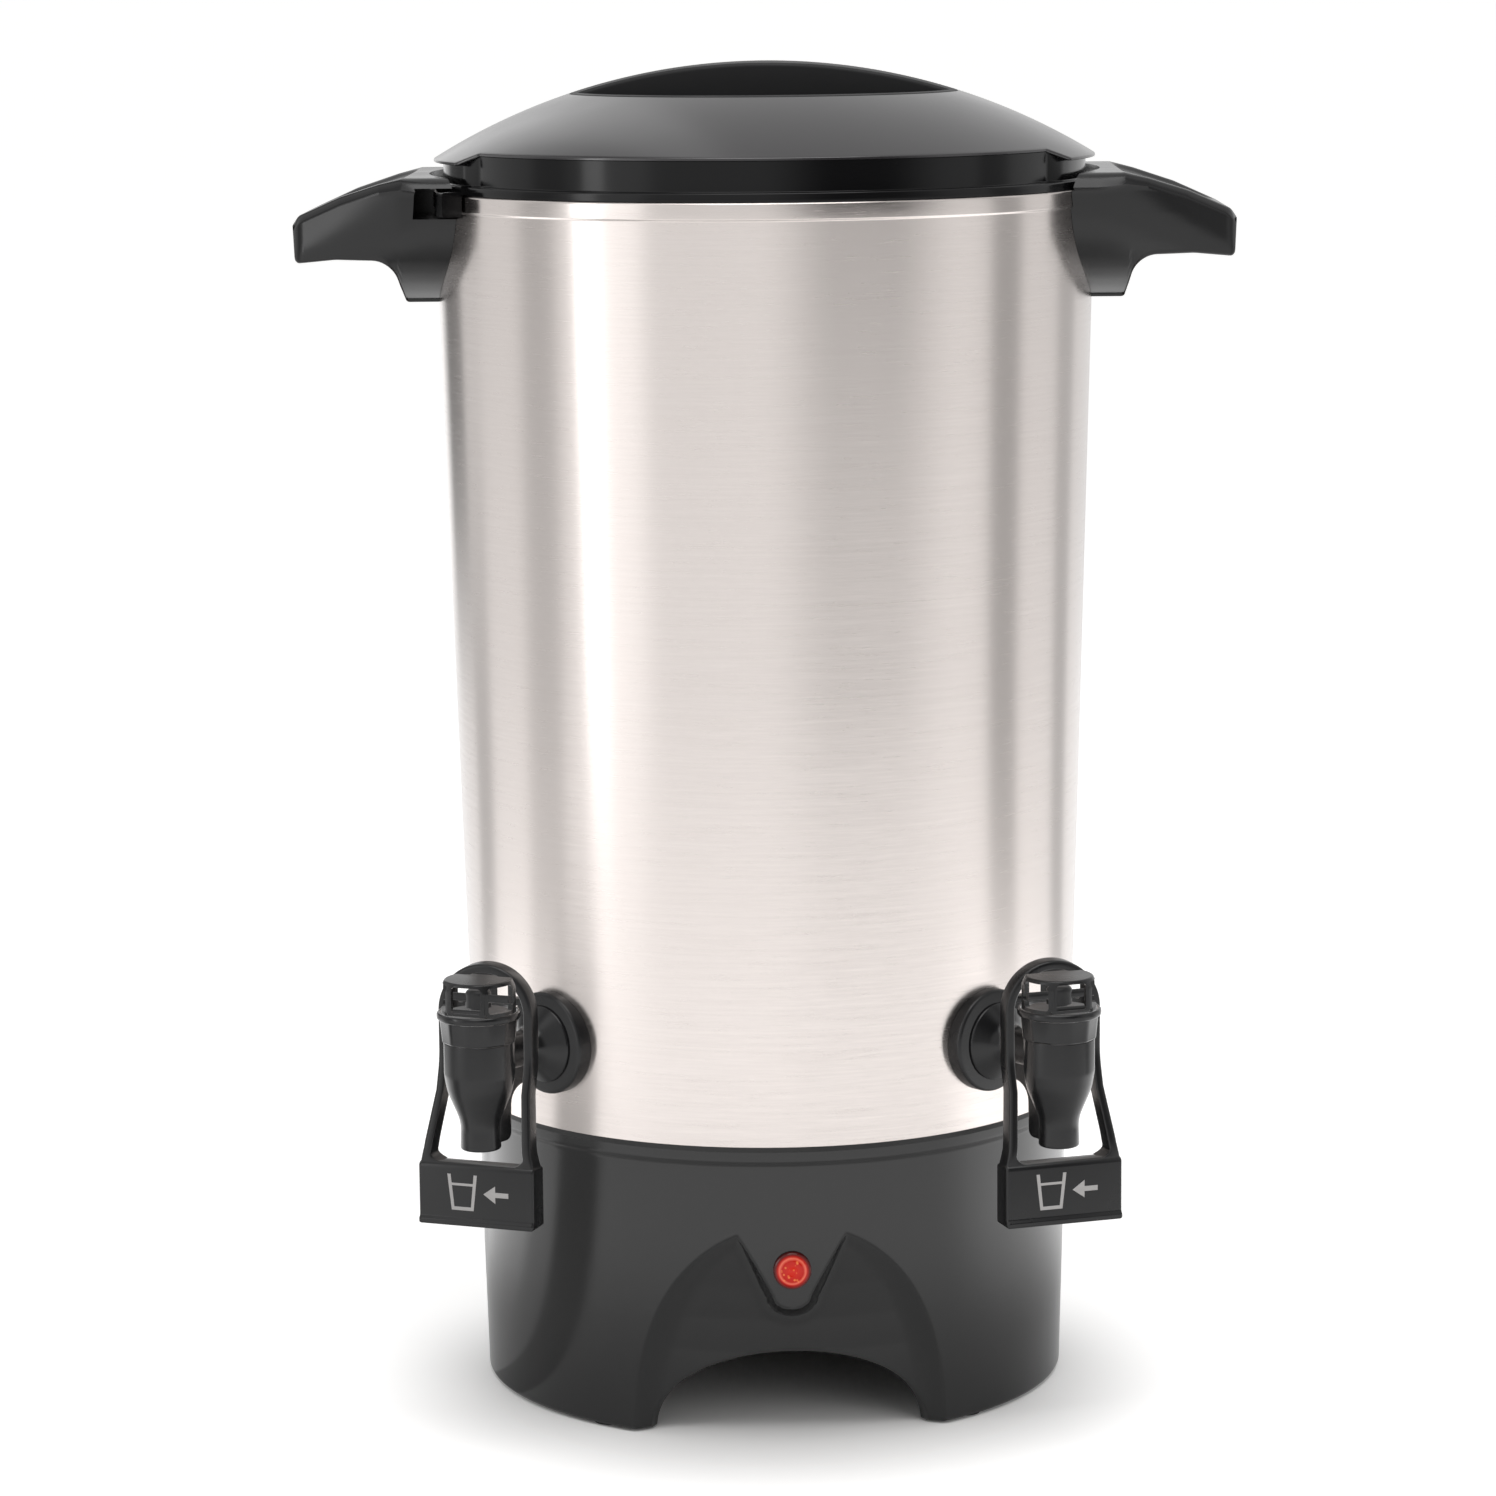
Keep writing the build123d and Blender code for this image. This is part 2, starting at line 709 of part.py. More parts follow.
with BuildPart() as inlet_socket:
    with BuildSketch(rear.offset(inlet_face - 6)):
        with Locations((0, inlet_height)):
            RectangleRounded(34, 27, 3.5)
    extrude(amount=6)
    skirt_solid = [
        (0, 20),
        (base_r(20) + seat_gap, 20),
        (base_belly_r + seat_gap, base_belly_height),
        (base_neck_r + seat_gap, base_neck_height),
        (0, base_neck_height),
    ]
    turned(skirt_solid, mode=Mode.SUBTRACT)
    with BuildSketch(rear.offset(inlet_back)):
        with Locations((0, inlet_height)):
            RectangleRounded(inlet_width, inlet_tall, 2.0)
    extrude(amount=inlet_face - 1 - inlet_back)
    with BuildSketch(rear.offset(inlet_floor)):
        with Locations((0, inlet_height)):
            RectangleRounded(inlet_width - 4.6, inlet_tall - 5.0, 2.4)
    extrude(amount=40, mode=Mode.SUBTRACT)
    with BuildSketch(rear.offset(inlet_back)):
        with Locations(*pin_places):
            Rectangle(2.1, 4.1)
    extrude(amount=10, mode=Mode.SUBTRACT)
finish(inlet_socket, "inlet_socket")

with BuildPart() as inlet_pins:
    with BuildSketch(rear.offset(inlet_back - 8)):
        with Locations(*pin_places):
            Rectangle(2.0, 4.0)
    extrude(amount=28)
finish(inlet_pins, "inlet_pins")

# ---------------------------------------------------------------- handles
right_side = radial_plane(90)
handle_leg_r = wall_r(handle_leg_foot) + handle_leg_depth
tip_top = handle_top - handle_tip_drop
overhang = handle_reach - handle_inner_r
leg_corner_r = handle_leg_r + 2.4
under_span = handle_reach - leg_corner_r


def handle_crown(drop):
    """The handle's top line as (radius, height) points from its end to its root, set lower."""
    return [
        (handle_reach - overhang * 0.0637, tip_top + 3.0 - drop),
        (handle_reach - overhang * 0.3922, handle_top - 6.1 - drop),
        (handle_reach - overhang * 0.7108, handle_top - 1.9 - drop),
        (handle_reach - overhang * 0.8946, handle_top - drop),
    ]


with BuildPart() as handle_dish_tool:
    with BuildSketch(Plane(origin=(0, 0, handle_underside))):
        with BuildLine():
            FilletPolyline(
                (handle_inner_r + 9.0, -handle_half_width + 10.5),
                (handle_reach - 6.5, -handle_end_half_width + 6.5),
                (handle_reach - 6.5, handle_end_half_width - 6.5),
                (handle_inner_r + 9.0, handle_half_width - 10.5),
                radius=[4, 6, 6, 4],
                close=True,
            )
        make_face()
    extrude(amount=60)
    crown = handle_crown(handle_dish)
    over = handle_top + 20
    dish_points = [(handle_reach, crown[0][1] - 2.0)] + crown[:3]
    dish_points += [(handle_inner_r, handle_top - handle_dish), (handle_inner_r, over), (handle_reach, over)]
    dish_side = outline(right_side, dish_points)
    extrude(dish_side, amount=70, both=True, mode=Mode.INTERSECT)

with BuildPart() as handle_right:
    foot_points = [
        (95, handle_leg_foot),
        (handle_leg_r, handle_leg_foot),
        (leg_corner_r, handle_underside),
        (leg_corner_r + under_span * 0.57, handle_underside + 0.4),
        (handle_reach - 1.2, handle_underside - 1.0),
        (handle_reach, tip_top),
    ]
    side_points = foot_points + handle_crown(0) + [(95, handle_top)]
    side_radii = [0, 1.0, under_span * 0.246, under_span * 0.61, 1.6, 1.4, 4, overhang * 0.34, overhang * 0.29, 3, 0]
    extrude(outline(right_side, side_points, side_radii), amount=handle_half_width + 4, both=True)
    with BuildSketch(Plane(origin=(0, 0, handle_leg_foot - 5))):
        with BuildLine():
            FilletPolyline(
                (80, -handle_half_width),
                (handle_inner_r + 1.5, -handle_half_width),
                (handle_reach + 0.5, -handle_end_half_width),
                (handle_reach + 0.5, handle_end_half_width),
                (handle_inner_r + 1.5, handle_half_width),
                (80, handle_half_width),
                radius=[0, 25, 8, 8, 25, 0],
                close=True,
            )
        make_face()
    extrude(amount=80, mode=Mode.INTERSECT)
    shield_top = handle_leg_foot + 27.5
    with BuildSketch(facing_plane(90, Vector(80, 0, 0))):
        with BuildLine():
            Line((-9.5, handle_leg_foot), (9.5, handle_leg_foot))
            ThreePointArc(
                (9.5, handle_leg_foot),
                (handle_half_width * 0.66, handle_leg_foot + 10.8),
                (handle_half_width + 1, shield_top),
            )
            Polyline(
                (handle_half_width + 1, shield_top),
                (handle_half_width + 1, handle_top + 5),
                (-handle_half_width - 1, handle_top + 5),
                (-handle_half_width - 1, shield_top),
            )
            ThreePointArc(
                (-handle_half_width - 1, shield_top),
                (-handle_half_width * 0.66, handle_leg_foot + 10.8),
                (-9.5, handle_leg_foot),
            )
        make_face()
    extrude(amount=90, mode=Mode.INTERSECT)
    add(handle_dish_tool.part, mode=Mode.SUBTRACT)

with BuildPart() as handle_whole:
    add(handle_right.part)
    turned(
        [
            (60, handle_leg_foot - 20),
            (wall_r(handle_leg_foot - 20) + seat_gap, handle_leg_foot - 20),
            (wall_r(rim_foot) + seat_gap, rim_foot),
            (rim_r + 0.1, rim_foot + 0.6),
            (rim_r + 0.1, vessel_top),
            (handle_inner_r, vessel_top),
            (handle_inner_r, handle_top + 15),
            (60, handle_top + 15),
        ],
        mode=Mode.SUBTRACT,
    )
    sector(box_points(100, slot_r, slot_floor, slot_roof), 91, 40, mode=Mode.SUBTRACT)
    for height in handle_screw_heights:
        with BuildSketch(facing_plane(90, Vector(90, 0, height))):
            Circle(screw_r + 0.1)
        extrude(amount=handle_leg_r - 1.8 - 90, mode=Mode.SUBTRACT)
finish(handle_whole, "right_handle")
left_handle = half_turned(handle_whole)
finish(left_handle, "left_handle")

with BuildPart() as handle_screws:
    for azimuth in (-90, 90):
        for height in handle_screw_heights:
            inside = wall_r(height) - vessel_wall - 0.25
            with BuildSketch(facing_plane(azimuth, Vector(0, 0, height) + outward(azimuth) * inside)):
                Circle(screw_r)
            extrude(amount=handle_leg_r - 2.4 - inside)
            with BuildSketch(facing_plane(azimuth, Vector(0, 0, height) + outward(azimuth) * inside)):
                Circle(3.4)
            extrude(amount=-1.8)
finish(handle_screws, "handle_screws")

# ---------------------------------------------------------------- lid
inner_sphere = dome_radius - dome_wall
plug_foot = lid_seat - lid_plug_depth
seal_foot = lid_seat - 8.0
hole_r = grip_hole_r + 0.3
step_r = grip_hole_r - 1.6
step_top = dome_z(hole_r) - 3.2
step_foot = step_top - 1.8
handle_azimuths = (-90, 90)


def shell_face(inner_r, outer_r, foot, plane):
    """Cross-section of the dome between two radii, flat at its foot."""
    foot_r = sqrt(inner_sphere**2 - (foot - dome_centre) ** 2)
    middle_r = (inner_r + outer_r) / 2
    under_r = (inner_r + foot_r) / 2
    with BuildSketch(plane) as face:
        with BuildLine():
            ThreePointArc((inner_r, dome_z(inner_r)), (middle_r, dome_z(middle_r)), (outer_r, dome_z(outer_r)))
            Line((outer_r, dome_z(outer_r)), (outer_r, foot))
            Line((outer_r, foot), (foot_r, foot))
            ThreePointArc(
                (foot_r, foot),
                (under_r, dome_z(under_r, inner_sphere)),
                (inner_r, dome_z(inner_r, inner_sphere)),
            )
            Line((inner_r, dome_z(inner_r, inner_sphere)), (inner_r, dome_z(inner_r)))
        make_face()
    return face.sketch


with BuildPart() as lid_dome:
    revolve(shell_face(hole_r, dome_edge_r, band_top, Plane.XZ), axis=Axis.Z)
    turned(
        [
            (step_r, step_foot),
            (hole_r + 3.4, step_foot),
            (hole_r + 3.4, dome_z(hole_r + 3.4) - 1.0),
            (hole_r, dome_z(hole_r) - 1.0),
            (hole_r, step_top),
            (step_r, step_top),
        ]
    )
    for azimuth in handle_azimuths:
        ear_plane = radial_plane(azimuth - ear_half_angle)
        with BuildSketch(ear_plane) as ear_face:
            with BuildLine():
                start_r = lid_band_r + 0.05
                middle_r = (start_r + ear_r) / 2
                ThreePointArc((start_r, dome_z(start_r)), (middle_r, dome_z(middle_r)), (ear_r, dome_z(ear_r)))
                Line((ear_r, dome_z(ear_r)), (ear_r, ear_foot))
                Line((ear_r, ear_foot), (start_r, ear_foot))
                Line((start_r, ear_foot), (start_r, dome_z(start_r)))
            make_face()
        revolve(ear_face.sketch, axis=Axis.Z, revolution_arc=2 * ear_half_angle)
finish(lid_dome, "lid_dome")

seat_lip_r = lid_plug_r + 1.1
groove_r = lid_plug_r - 1.5
post_r = 4.0
post_places = [(x, y) for x in (-40, 40) for y in (-25, 25)]

with BuildPart() as lid_rim:
    turned(
        [
            (0, lid_seat),
            (groove_r - 1.6, lid_seat),
            (groove_r - 1.6, plug_foot),
            (lid_plug_r, plug_foot),
            (lid_plug_r, seal_foot),
            (groove_r, seal_foot),
            (groove_r, seal_foot + seal_height),
            (lid_plug_r, seal_foot + seal_height),
            (lid_plug_r, lid_seat),
            (seat_lip_r, lid_seat),
            (seat_lip_r, vessel_top),
            (lid_flange_r, vessel_top),
            (lid_flange_r, band_foot),
            (lid_band_r, band_foot),
            (lid_band_r, band_top),
            (lid_band_r - lid_wall, band_top),
            (lid_band_r - lid_wall, band_foot),
            (0, band_foot),
        ],
        [0, 0, 0.4, 0.8, 0, 0, 0, 0, 0, 0, 0, 0, 0.5, 0, 0.3, 0, 0, 0],
    )
    for azimuth in handle_azimuths:
        sector(
            box_points(lid_band_r - 1, ear_r, band_foot - 1, ear_foot),
            azimuth - ear_half_angle,
            2 * ear_half_angle,
        )
        sector(
            [
                (lid_flange_r - 2, lid_seat),
                (lug_inner_r, lid_seat),
                (lug_inner_r, lug_foot),
                (lug_r, lug_foot),
                (lug_r, lug_top),
                (lug_web_r, lug_top),
                (lug_web_r, band_foot + 0.4),
                (lid_flange_r - 2, band_foot + 0.4),
            ],
            azimuth + lug_start,
            lug_span,
            [0, 0, 0.4, 0.8, 0.8, 0, 0.5, 0],
        )
    for place in post_places:
        with BuildSketch(Plane(origin=(place[0], place[1], lid_seat))):
            Circle(plate_screw_r + 0.2)
        extrude(amount=lid_flange_thickness, mode=Mode.SUBTRACT)
finish(lid_rim, "lid_rim")

with BuildPart() as lid_seal:
    turned(
        [
            (groove_r + 0.1, seal_foot + 0.15),
            (groove_r + 2.6, seal_foot + 0.15),
            (rim_r - rim_wall - 0.1, seal_foot + 1.6),
            (rim_r - rim_wall - 0.1, seal_foot + 2.4),
            (groove_r + 2.6, seal_foot + seal_height - 0.15),
            (groove_r + 0.1, seal_foot + seal_height - 0.15),
        ],
        [0, 0, 0.3, 0.3, 0, 0],
    )
finish(lid_seal, "lid_seal")

pan_floor = dome_z(grip_hole_r) - grip_pan_depth
with BuildPart() as grip_bar:
    with BuildSketch(Plane(origin=(0, 0, pan_floor - 1))):
        Rectangle(2 * grip_hole_r, grip_bar_width)
    extrude(amount=60)
    with Locations((0, 0, dome_centre)):
        Sphere(dome_radius, mode=Mode.INTERSECT)
    with Locations((0, 0, pan_floor - 5)):
        Cylinder(grip_hole_r - 1, 80, align=(Align.CENTER, Align.CENTER, Align.MIN), mode=Mode.INTERSECT)
    turned(box_points(step_r - 0.2, grip_hole_r + 2, pan_floor - 5, step_top), mode=Mode.SUBTRACT)

with BuildPart() as grip_core:
    with BuildSketch(Plane(origin=(0, 0, pan_floor - pan_wall))):
        Rectangle(2 * grip_hole_r - 12, grip_bar_width - 5)
    extrude(amount=60)
    with Locations((0, 0, dome_centre)):
        Sphere(dome_radius - 2.5, mode=Mode.INTERSECT)
    with Locations((0, 0, pan_floor - 5)):
        Cylinder(grip_hole_r - 5, 80, align=(Align.CENTER, Align.CENTER, Align.MIN), mode=Mode.INTERSECT)

with BuildPart() as lid_grip:
    turned(
        [
            (0, pan_floor - pan_wall),
            (step_r - 0.2, pan_floor - pan_wall),
            (step_r - 0.2, step_top),
            (grip_hole_r, step_top),
            (grip_hole_r, dome_z(grip_hole_r)),
            (grip_hole_r - 1.8, dome_z(grip_hole_r - 1.8)),
            (step_r - 2.6, pan_floor),
            (0, pan_floor),
        ],
        [0, 2.0, 0, 0, 0, 0, 1.5, 0],
    )
    add(grip_bar.part)
    add(grip_core.part, mode=Mode.SUBTRACT)
    for place in post_places:
        with BuildSketch(Plane(origin=(place[0], place[1], band_foot))):
            Circle(post_r)
        extrude(amount=pan_floor - band_foot - 0.5)
        with BuildSketch(Plane(origin=(place[0], place[1], band_foot))):
            Circle(plate_screw_r + 0.1)
        extrude(amount=9, mode=Mode.SUBTRACT)
finish(lid_grip, "lid_grip")

with BuildPart() as lid_screws:
    for place in post_places:
        with BuildSketch(Plane(origin=(place[0], place[1], lid_seat))):
            Circle(plate_screw_r)
        extrude(amount=10)
        with BuildSketch(Plane(origin=(place[0], place[1], lid_seat))):
            Circle(3.6)
        extrude(amount=-1.8)
finish(lid_screws, "lid_screws")

# ---------------------------------------------------------------- percolator
tube_foot = well_floor + 11.0
collar_r = 8.0
cover_foot = basket_foot_height + basket_depth

with BuildPart() as pump_foot:
    turned(
        [
            (12.0, well_floor),
            (13.2, well_floor),
            (pump_foot_r, well_floor + 2.4),
            (pump_foot_r, well_floor + 4.4),
            (8.0, well_floor + 12),
            (8.0, well_floor + 18),
            (tube_r + 0.05, well_floor + 18),
            (tube_r + 0.05, tube_foot),
            (tube_r - tube_wall, tube_foot),
            (tube_r - tube_wall, well_floor + 9.6),
            (12.0, well_floor + 2.6),
        ]
    )
    with PolarLocations(12.5, 6):
        with Locations((0, 0, well_floor)):
            Box(6, 4, 2.4, mode=Mode.SUBTRACT)
finish(pump_foot, "pump_foot")

with BuildPart() as pump_tube:
    turned(
        [
            (tube_r - tube_wall, tube_foot),
            (tube_r, tube_foot),
            (tube_r, basket_foot_height - 3),
            (collar_r, basket_foot_height - 1.4),
            (collar_r, basket_foot_height),
            (tube_r, basket_foot_height),
            (tube_r, cover_foot + tube_rise),
            (tube_r - tube_wall, cover_foot + tube_rise),
        ]
    )
finish(pump_tube, "pump_tube")

with BuildPart() as coffee_basket:
    turned(
        [
            (tube_r + 0.1, basket_foot_height),
            (basket_r, basket_foot_height),
            (basket_r, cover_foot),
            (basket_r - basket_wall, cover_foot),
            (basket_r - basket_wall, basket_foot_height + basket_wall),
            (tube_r + 0.1 + basket_wall, basket_foot_height + basket_wall),
            (tube_r + 0.1 + basket_wall, cover_foot - 3),
            (tube_r + 0.1, cover_foot - 3),
        ],
        [0, 3.0, 0, 0, 2.0, 0, 0, 0],
    )
    for ring_r, count in ((16, 8), (28, 14), (40, 20), (51, 26)):
        with BuildSketch(Plane(origin=(0, 0, basket_foot_height))):
            with PolarLocations(ring_r, count):
                Circle(1.3)
        extrude(amount=basket_wall, mode=Mode.SUBTRACT)
finish(coffee_basket, "coffee_basket")

with BuildPart() as basket_cover:
    turned(
        [
            (tube_r + 0.1, cover_foot),
            (basket_r + 0.8, cover_foot),
            (basket_r + 0.8, cover_foot + 2.2),
            (basket_r, cover_foot + 2.2),
            (basket_r - 1.5, cover_foot + 0.8),
            (tube_r + 0.1, cover_foot + 0.8),
        ]
    )
    for ring_r, count in ((20, 10), (34, 16), (48, 24)):
        with BuildSketch(Plane(origin=(0, 0, cover_foot))):
            with PolarLocations(ring_r, count):
                Circle(1.2)
        extrude(amount=0.8, mode=Mode.SUBTRACT)
finish(basket_cover, "basket_cover")

# ---------------------------------------------------------------- taps, left one first
tap_out = outward(-tap_azimuth)
tap_centre = tap_out * tap_axis_r
tap_axis = Axis(tap_centre, (0, 0, 1))
tap_side = radial_plane(-tap_azimuth, tap_centre)
shank_centre = tap_centre + Vector(0, 0, shank_height)
shank_side = radial_plane(-tap_azimuth, shank_centre)
shank_axis = Axis(shank_centre, tap_out)
wall_face = facing_plane(-tap_azimuth, Vector(0, 0, shank_height))
bell_face = wall_r(shank_height) + washer_thickness
nut_face = wall_r(shank_height) - vessel_wall - 2.9
shank_end = nut_face - 6.0


def about_tap(points, radii=0, mode=Mode.ADD):
    """Turn an outline of (radius, height) points about the left tap's upright axis."""
    revolve(outline(tap_side, points, radii), axis=tap_axis, mode=mode)


with BuildPart() as left_tap_body:
    about_tap(
        [
            (0, nozzle_foot),
            (nozzle_r, nozzle_foot),
            (nozzle_r - 0.3, nozzle_foot + 8.8),
            (barrel_r - 0.9, nozzle_foot + 18.6),
            (barrel_r, nozzle_foot + 23.9),
            (barrel_r, bonnet_foot - 0.1),
            (10.0, bonnet_foot - 0.1),
            (10.0, bonnet_foot + 6.4),
            (0, bonnet_foot + 6.4),
        ],
        [0, 0.6, 4, 5, 3, 0, 0, 0, 0],
    )
    outer_x = bell_face - tap_axis_r
    shank_outline = outline(
        shank_side,
        [
            (0, 0),
            (0, shank_r),
            (outer_x + 6.6, shank_r),
            (outer_x + 1.2, bell_r),
            (outer_x, bell_r),
            (outer_x, thread_r),
            (shank_end - tap_axis_r, thread_r),
            (shank_end - tap_axis_r, 0),
        ],
        [0, 0, 6.5, 0, 0, 0, 0.6, 0],
    )
    revolve(shank_outline, axis=shank_axis)
    fin_points = [
        (-4, nozzle_foot + 0.8),
        (-11.2, nozzle_foot + 1.2),
        (-11.6, shank_height - 11.5),
        (outer_x + 5, shank_height - 9.5),
        (outer_x + 5, shank_height - 4.0),
        (-4, shank_height - 4.0),
    ]
    fin_outline = outline(tap_side, fin_points, [0, 2.5, 3, 0, 0, 0])
    extrude(fin_outline, amount=2.5, both=True)
    about_tap(box_points(0, chamber_r, seat_level, bonnet_top), mode=Mode.SUBTRACT)
    about_tap(box_points(0, nozzle_bore_r, nozzle_foot - 5, bonnet_top), mode=Mode.SUBTRACT)
    bore_outline = outline(shank_side, box_points(shank_end - tap_axis_r - 1, 0, 0, 3.6))
    revolve(bore_outline, axis=shank_axis, mode=Mode.SUBTRACT)
finish(left_tap_body, "left_tap_body")

with BuildPart() as left_wall_washer:
    with BuildSketch(wall_face.offset(bell_face)):
        Circle(washer_r)
    extrude(amount=-8)
    outer_solid = [(0, 60), (wall_r(60) + seat_gap, 60), (wall_r(180) + seat_gap, 180), (0, 180)]
    turned(outer_solid, mode=Mode.SUBTRACT)
    with BuildSketch(wall_face.offset(bell_face)):
        Circle(thread_r + 0.1)
    extrude(amount=-12, mode=Mode.SUBTRACT)
finish(left_wall_washer, "left_wall_washer")

with BuildPart() as left_inner_washer:
    with BuildSketch(wall_face.offset(nut_face)):
        Circle(11.5)
    extrude(amount=6)
    inner_solid = [
        (0, 60),
        (wall_r(60) - vessel_wall - seat_gap, 60),
        (wall_r(180) - vessel_wall - seat_gap, 180),
        (0, 180),
    ]
    turned(inner_solid, mode=Mode.INTERSECT)
    with BuildSketch(wall_face.offset(nut_face)):
        Circle(thread_r + 0.1)
    extrude(amount=8, mode=Mode.SUBTRACT)
finish(left_inner_washer, "left_inner_washer")

with BuildPart() as left_shank_nut:
    with BuildSketch(wall_face.offset(nut_face)):
        RegularPolygon(11.0, 6)
        Circle(thread_r + running_gap, mode=Mode.SUBTRACT)
    extrude(amount=-5)
finish(left_shank_nut, "left_shank_nut")

with BuildPart() as left_bonnet:
    crown_height = bonnet_height - bonnet_recess
    with BuildSketch(Plane(origin=tap_centre + Vector(0, 0, bonnet_foot))):
        RegularPolygon(bonnet_foot_r, 12)
    extrude(amount=crown_height, taper=-degrees((bonnet_crown_r - bonnet_foot_r) / crown_height))
    lip_foot = bonnet_top - bonnet_lip_height
    about_tap(box_points(0, bonnet_lip_r, lip_foot, bonnet_top), [0, 0.7, 0.9, 0])
    about_tap(box_points(0, 10.06, bonnet_foot - 1, bonnet_foot + 7.0), mode=Mode.SUBTRACT)
    about_tap(box_points(0, stem_r + running_gap, bonnet_foot, bonnet_top), mode=Mode.SUBTRACT)
    about_tap(box_points(0, 12.0, bonnet_floor, bonnet_top + 1), mode=Mode.SUBTRACT)
finish(left_bonnet, "left_bonnet")

plate_top = bonnet_floor + 0.08 + rocker_plate_thickness
with BuildPart() as left_rocker_plate:
    about_tap(box_points(stem_r + 0.4, 11.9, bonnet_floor + 0.08, plate_top), 0.2)
finish(left_rocker_plate, "left_rocker_plate")

cup_r = chamber_r - 0.6
cup_top = seat_level + 6.0
with BuildPart() as left_seat_cup:
    about_tap(
        [
            (0, seat_level + 0.05),
            (cup_r - 1.2, seat_level + 0.05),
            (cup_r, seat_level + 2.0),
            (cup_r, cup_top - 1.5),
            (cup_r - 2.4, cup_top),
            (stem_r + 0.05, cup_top),
            (stem_r + 0.05, seat_level + 2.2),
            (0, seat_level + 2.2),
        ],
        [0, 0, 0.8, 0.8, 0, 0, 0, 0],
    )
finish(left_seat_cup, "left_seat_cup")

# ---------------------------------------------------------------- lever frame of the left tap
lever_azimuth = -tap_azimuth + lever_turn
lever_side = radial_plane(lever_azimuth, tap_centre)
lever_front = facing_plane(lever_azimuth, tap_centre)
lever_out = outward(lever_azimuth)
lever_across = Vector(0, 0, 1).cross(lever_out)
lever_foot = plate_top + 0.1
bead_height = lever_foot + bead_r
pin_height = bead_height + pin_rise
hood_top = lever_foot + hood_height
slot_back = 1.35
slot_front = 2.75

with BuildPart() as left_stem:
    about_tap(
        [
            (0, seat_level + 2.3),
            (stem_r, seat_level + 2.3),
            (stem_r, pin_height - 2.8),
            (stem_head_r, pin_height - 2.8),
            (stem_head_r, pin_height + 2.8),
            (0, pin_height + 2.8),
        ],
        [0, 0.5, 0, 0, 1.6, 0],
    )
    slot_points = box_points(-slot_back, slot_front, pin_height - pin_r - 0.1, pin_height + pin_r + 0.1)
    pin_slot = outline(lever_side, slot_points, 1.0)
    extrude(pin_slot, amount=8, both=True, mode=Mode.SUBTRACT)
finish(left_stem, "left_stem")

spring_foot = cup_top + 0.6
spring_top = bonnet_foot + 6.3
spring_r = 5.0
spring_wire = 0.45
with BuildPart() as left_spring:
    with BuildLine():
        Helix(pitch=3.2, height=spring_top - spring_foot, radius=spring_r, center=tap_centre + Vector(0, 0, spring_foot))
    with BuildSketch(Plane(origin=tap_centre + Vector(spring_r, 0, spring_foot), z_dir=(0, 1, 0))):
        Circle(spring_wire)
    sweep()
finish(left_spring, "left_spring")

with BuildPart() as left_pin:
    with BuildSketch(Plane(origin=tap_centre + Vector(0, 0, pin_height), z_dir=lever_across)):
        Circle(pin_r)
    extrude(amount=10.6, both=True)
finish(left_pin, "left_pin")

arm_inner = arm_outer - arm_thickness
strap_centre = hood_top + strap_rise - arm_outer
arm_flare = paddle_half_width - 1.3
flare_height = paddle_top + 3.9
flare_start = shank_height - 11.6

with BuildPart() as lever_strap:
    with BuildSketch(lever_front.offset(-30)):
        with BuildLine():
            Polyline(
                (-paddle_half_width, paddle_top - 2),
                (-arm_flare, flare_height),
                (-arm_outer, flare_start),
                (-arm_outer, strap_centre),
            )
            ThreePointArc((-arm_outer, strap_centre), (0, strap_centre + arm_outer), (arm_outer, strap_centre))
            Polyline(
                (arm_outer, strap_centre),
                (arm_outer, flare_start),
                (arm_flare, flare_height),
                (paddle_half_width, paddle_top - 2),
                (paddle_half_width - arm_thickness - 0.4, paddle_top - 2),
                (arm_flare - arm_thickness - 0.2, flare_height),
                (arm_inner, flare_start),
                (arm_inner, strap_centre),
            )
            ThreePointArc((arm_inner, strap_centre), (0, strap_centre + arm_inner), (-arm_inner, strap_centre))
            Polyline(
                (-arm_inner, strap_centre),
                (-arm_inner, flare_start),
                (-arm_flare + arm_thickness + 0.2, flare_height),
                (-paddle_half_width + arm_thickness + 0.4, paddle_top - 2),
                (-paddle_half_width, paddle_top - 2),
            )
        make_face()
    extrude(amount=60)
    arm_side = outline(
        lever_side,
        [
            (-arm_set_back - arm_depth / 2, hood_top + 10),
            (-arm_set_back - arm_depth / 2, arm_bend_height),
            (1 - arm_depth / 2, flare_height),
            (-3.2, paddle_top - 2.6),
            (4.2, paddle_top - 2.6),
            (1 + arm_depth / 2, flare_height),
            (-arm_set_back + arm_depth / 2, arm_bend_height),
            (-arm_set_back + arm_depth / 2, hood_top + 10),
        ],
        [0, 12, 6, 0, 0, 6, 12, 0],
    )
    extrude(arm_side, amount=30, both=True, mode=Mode.INTERSECT)

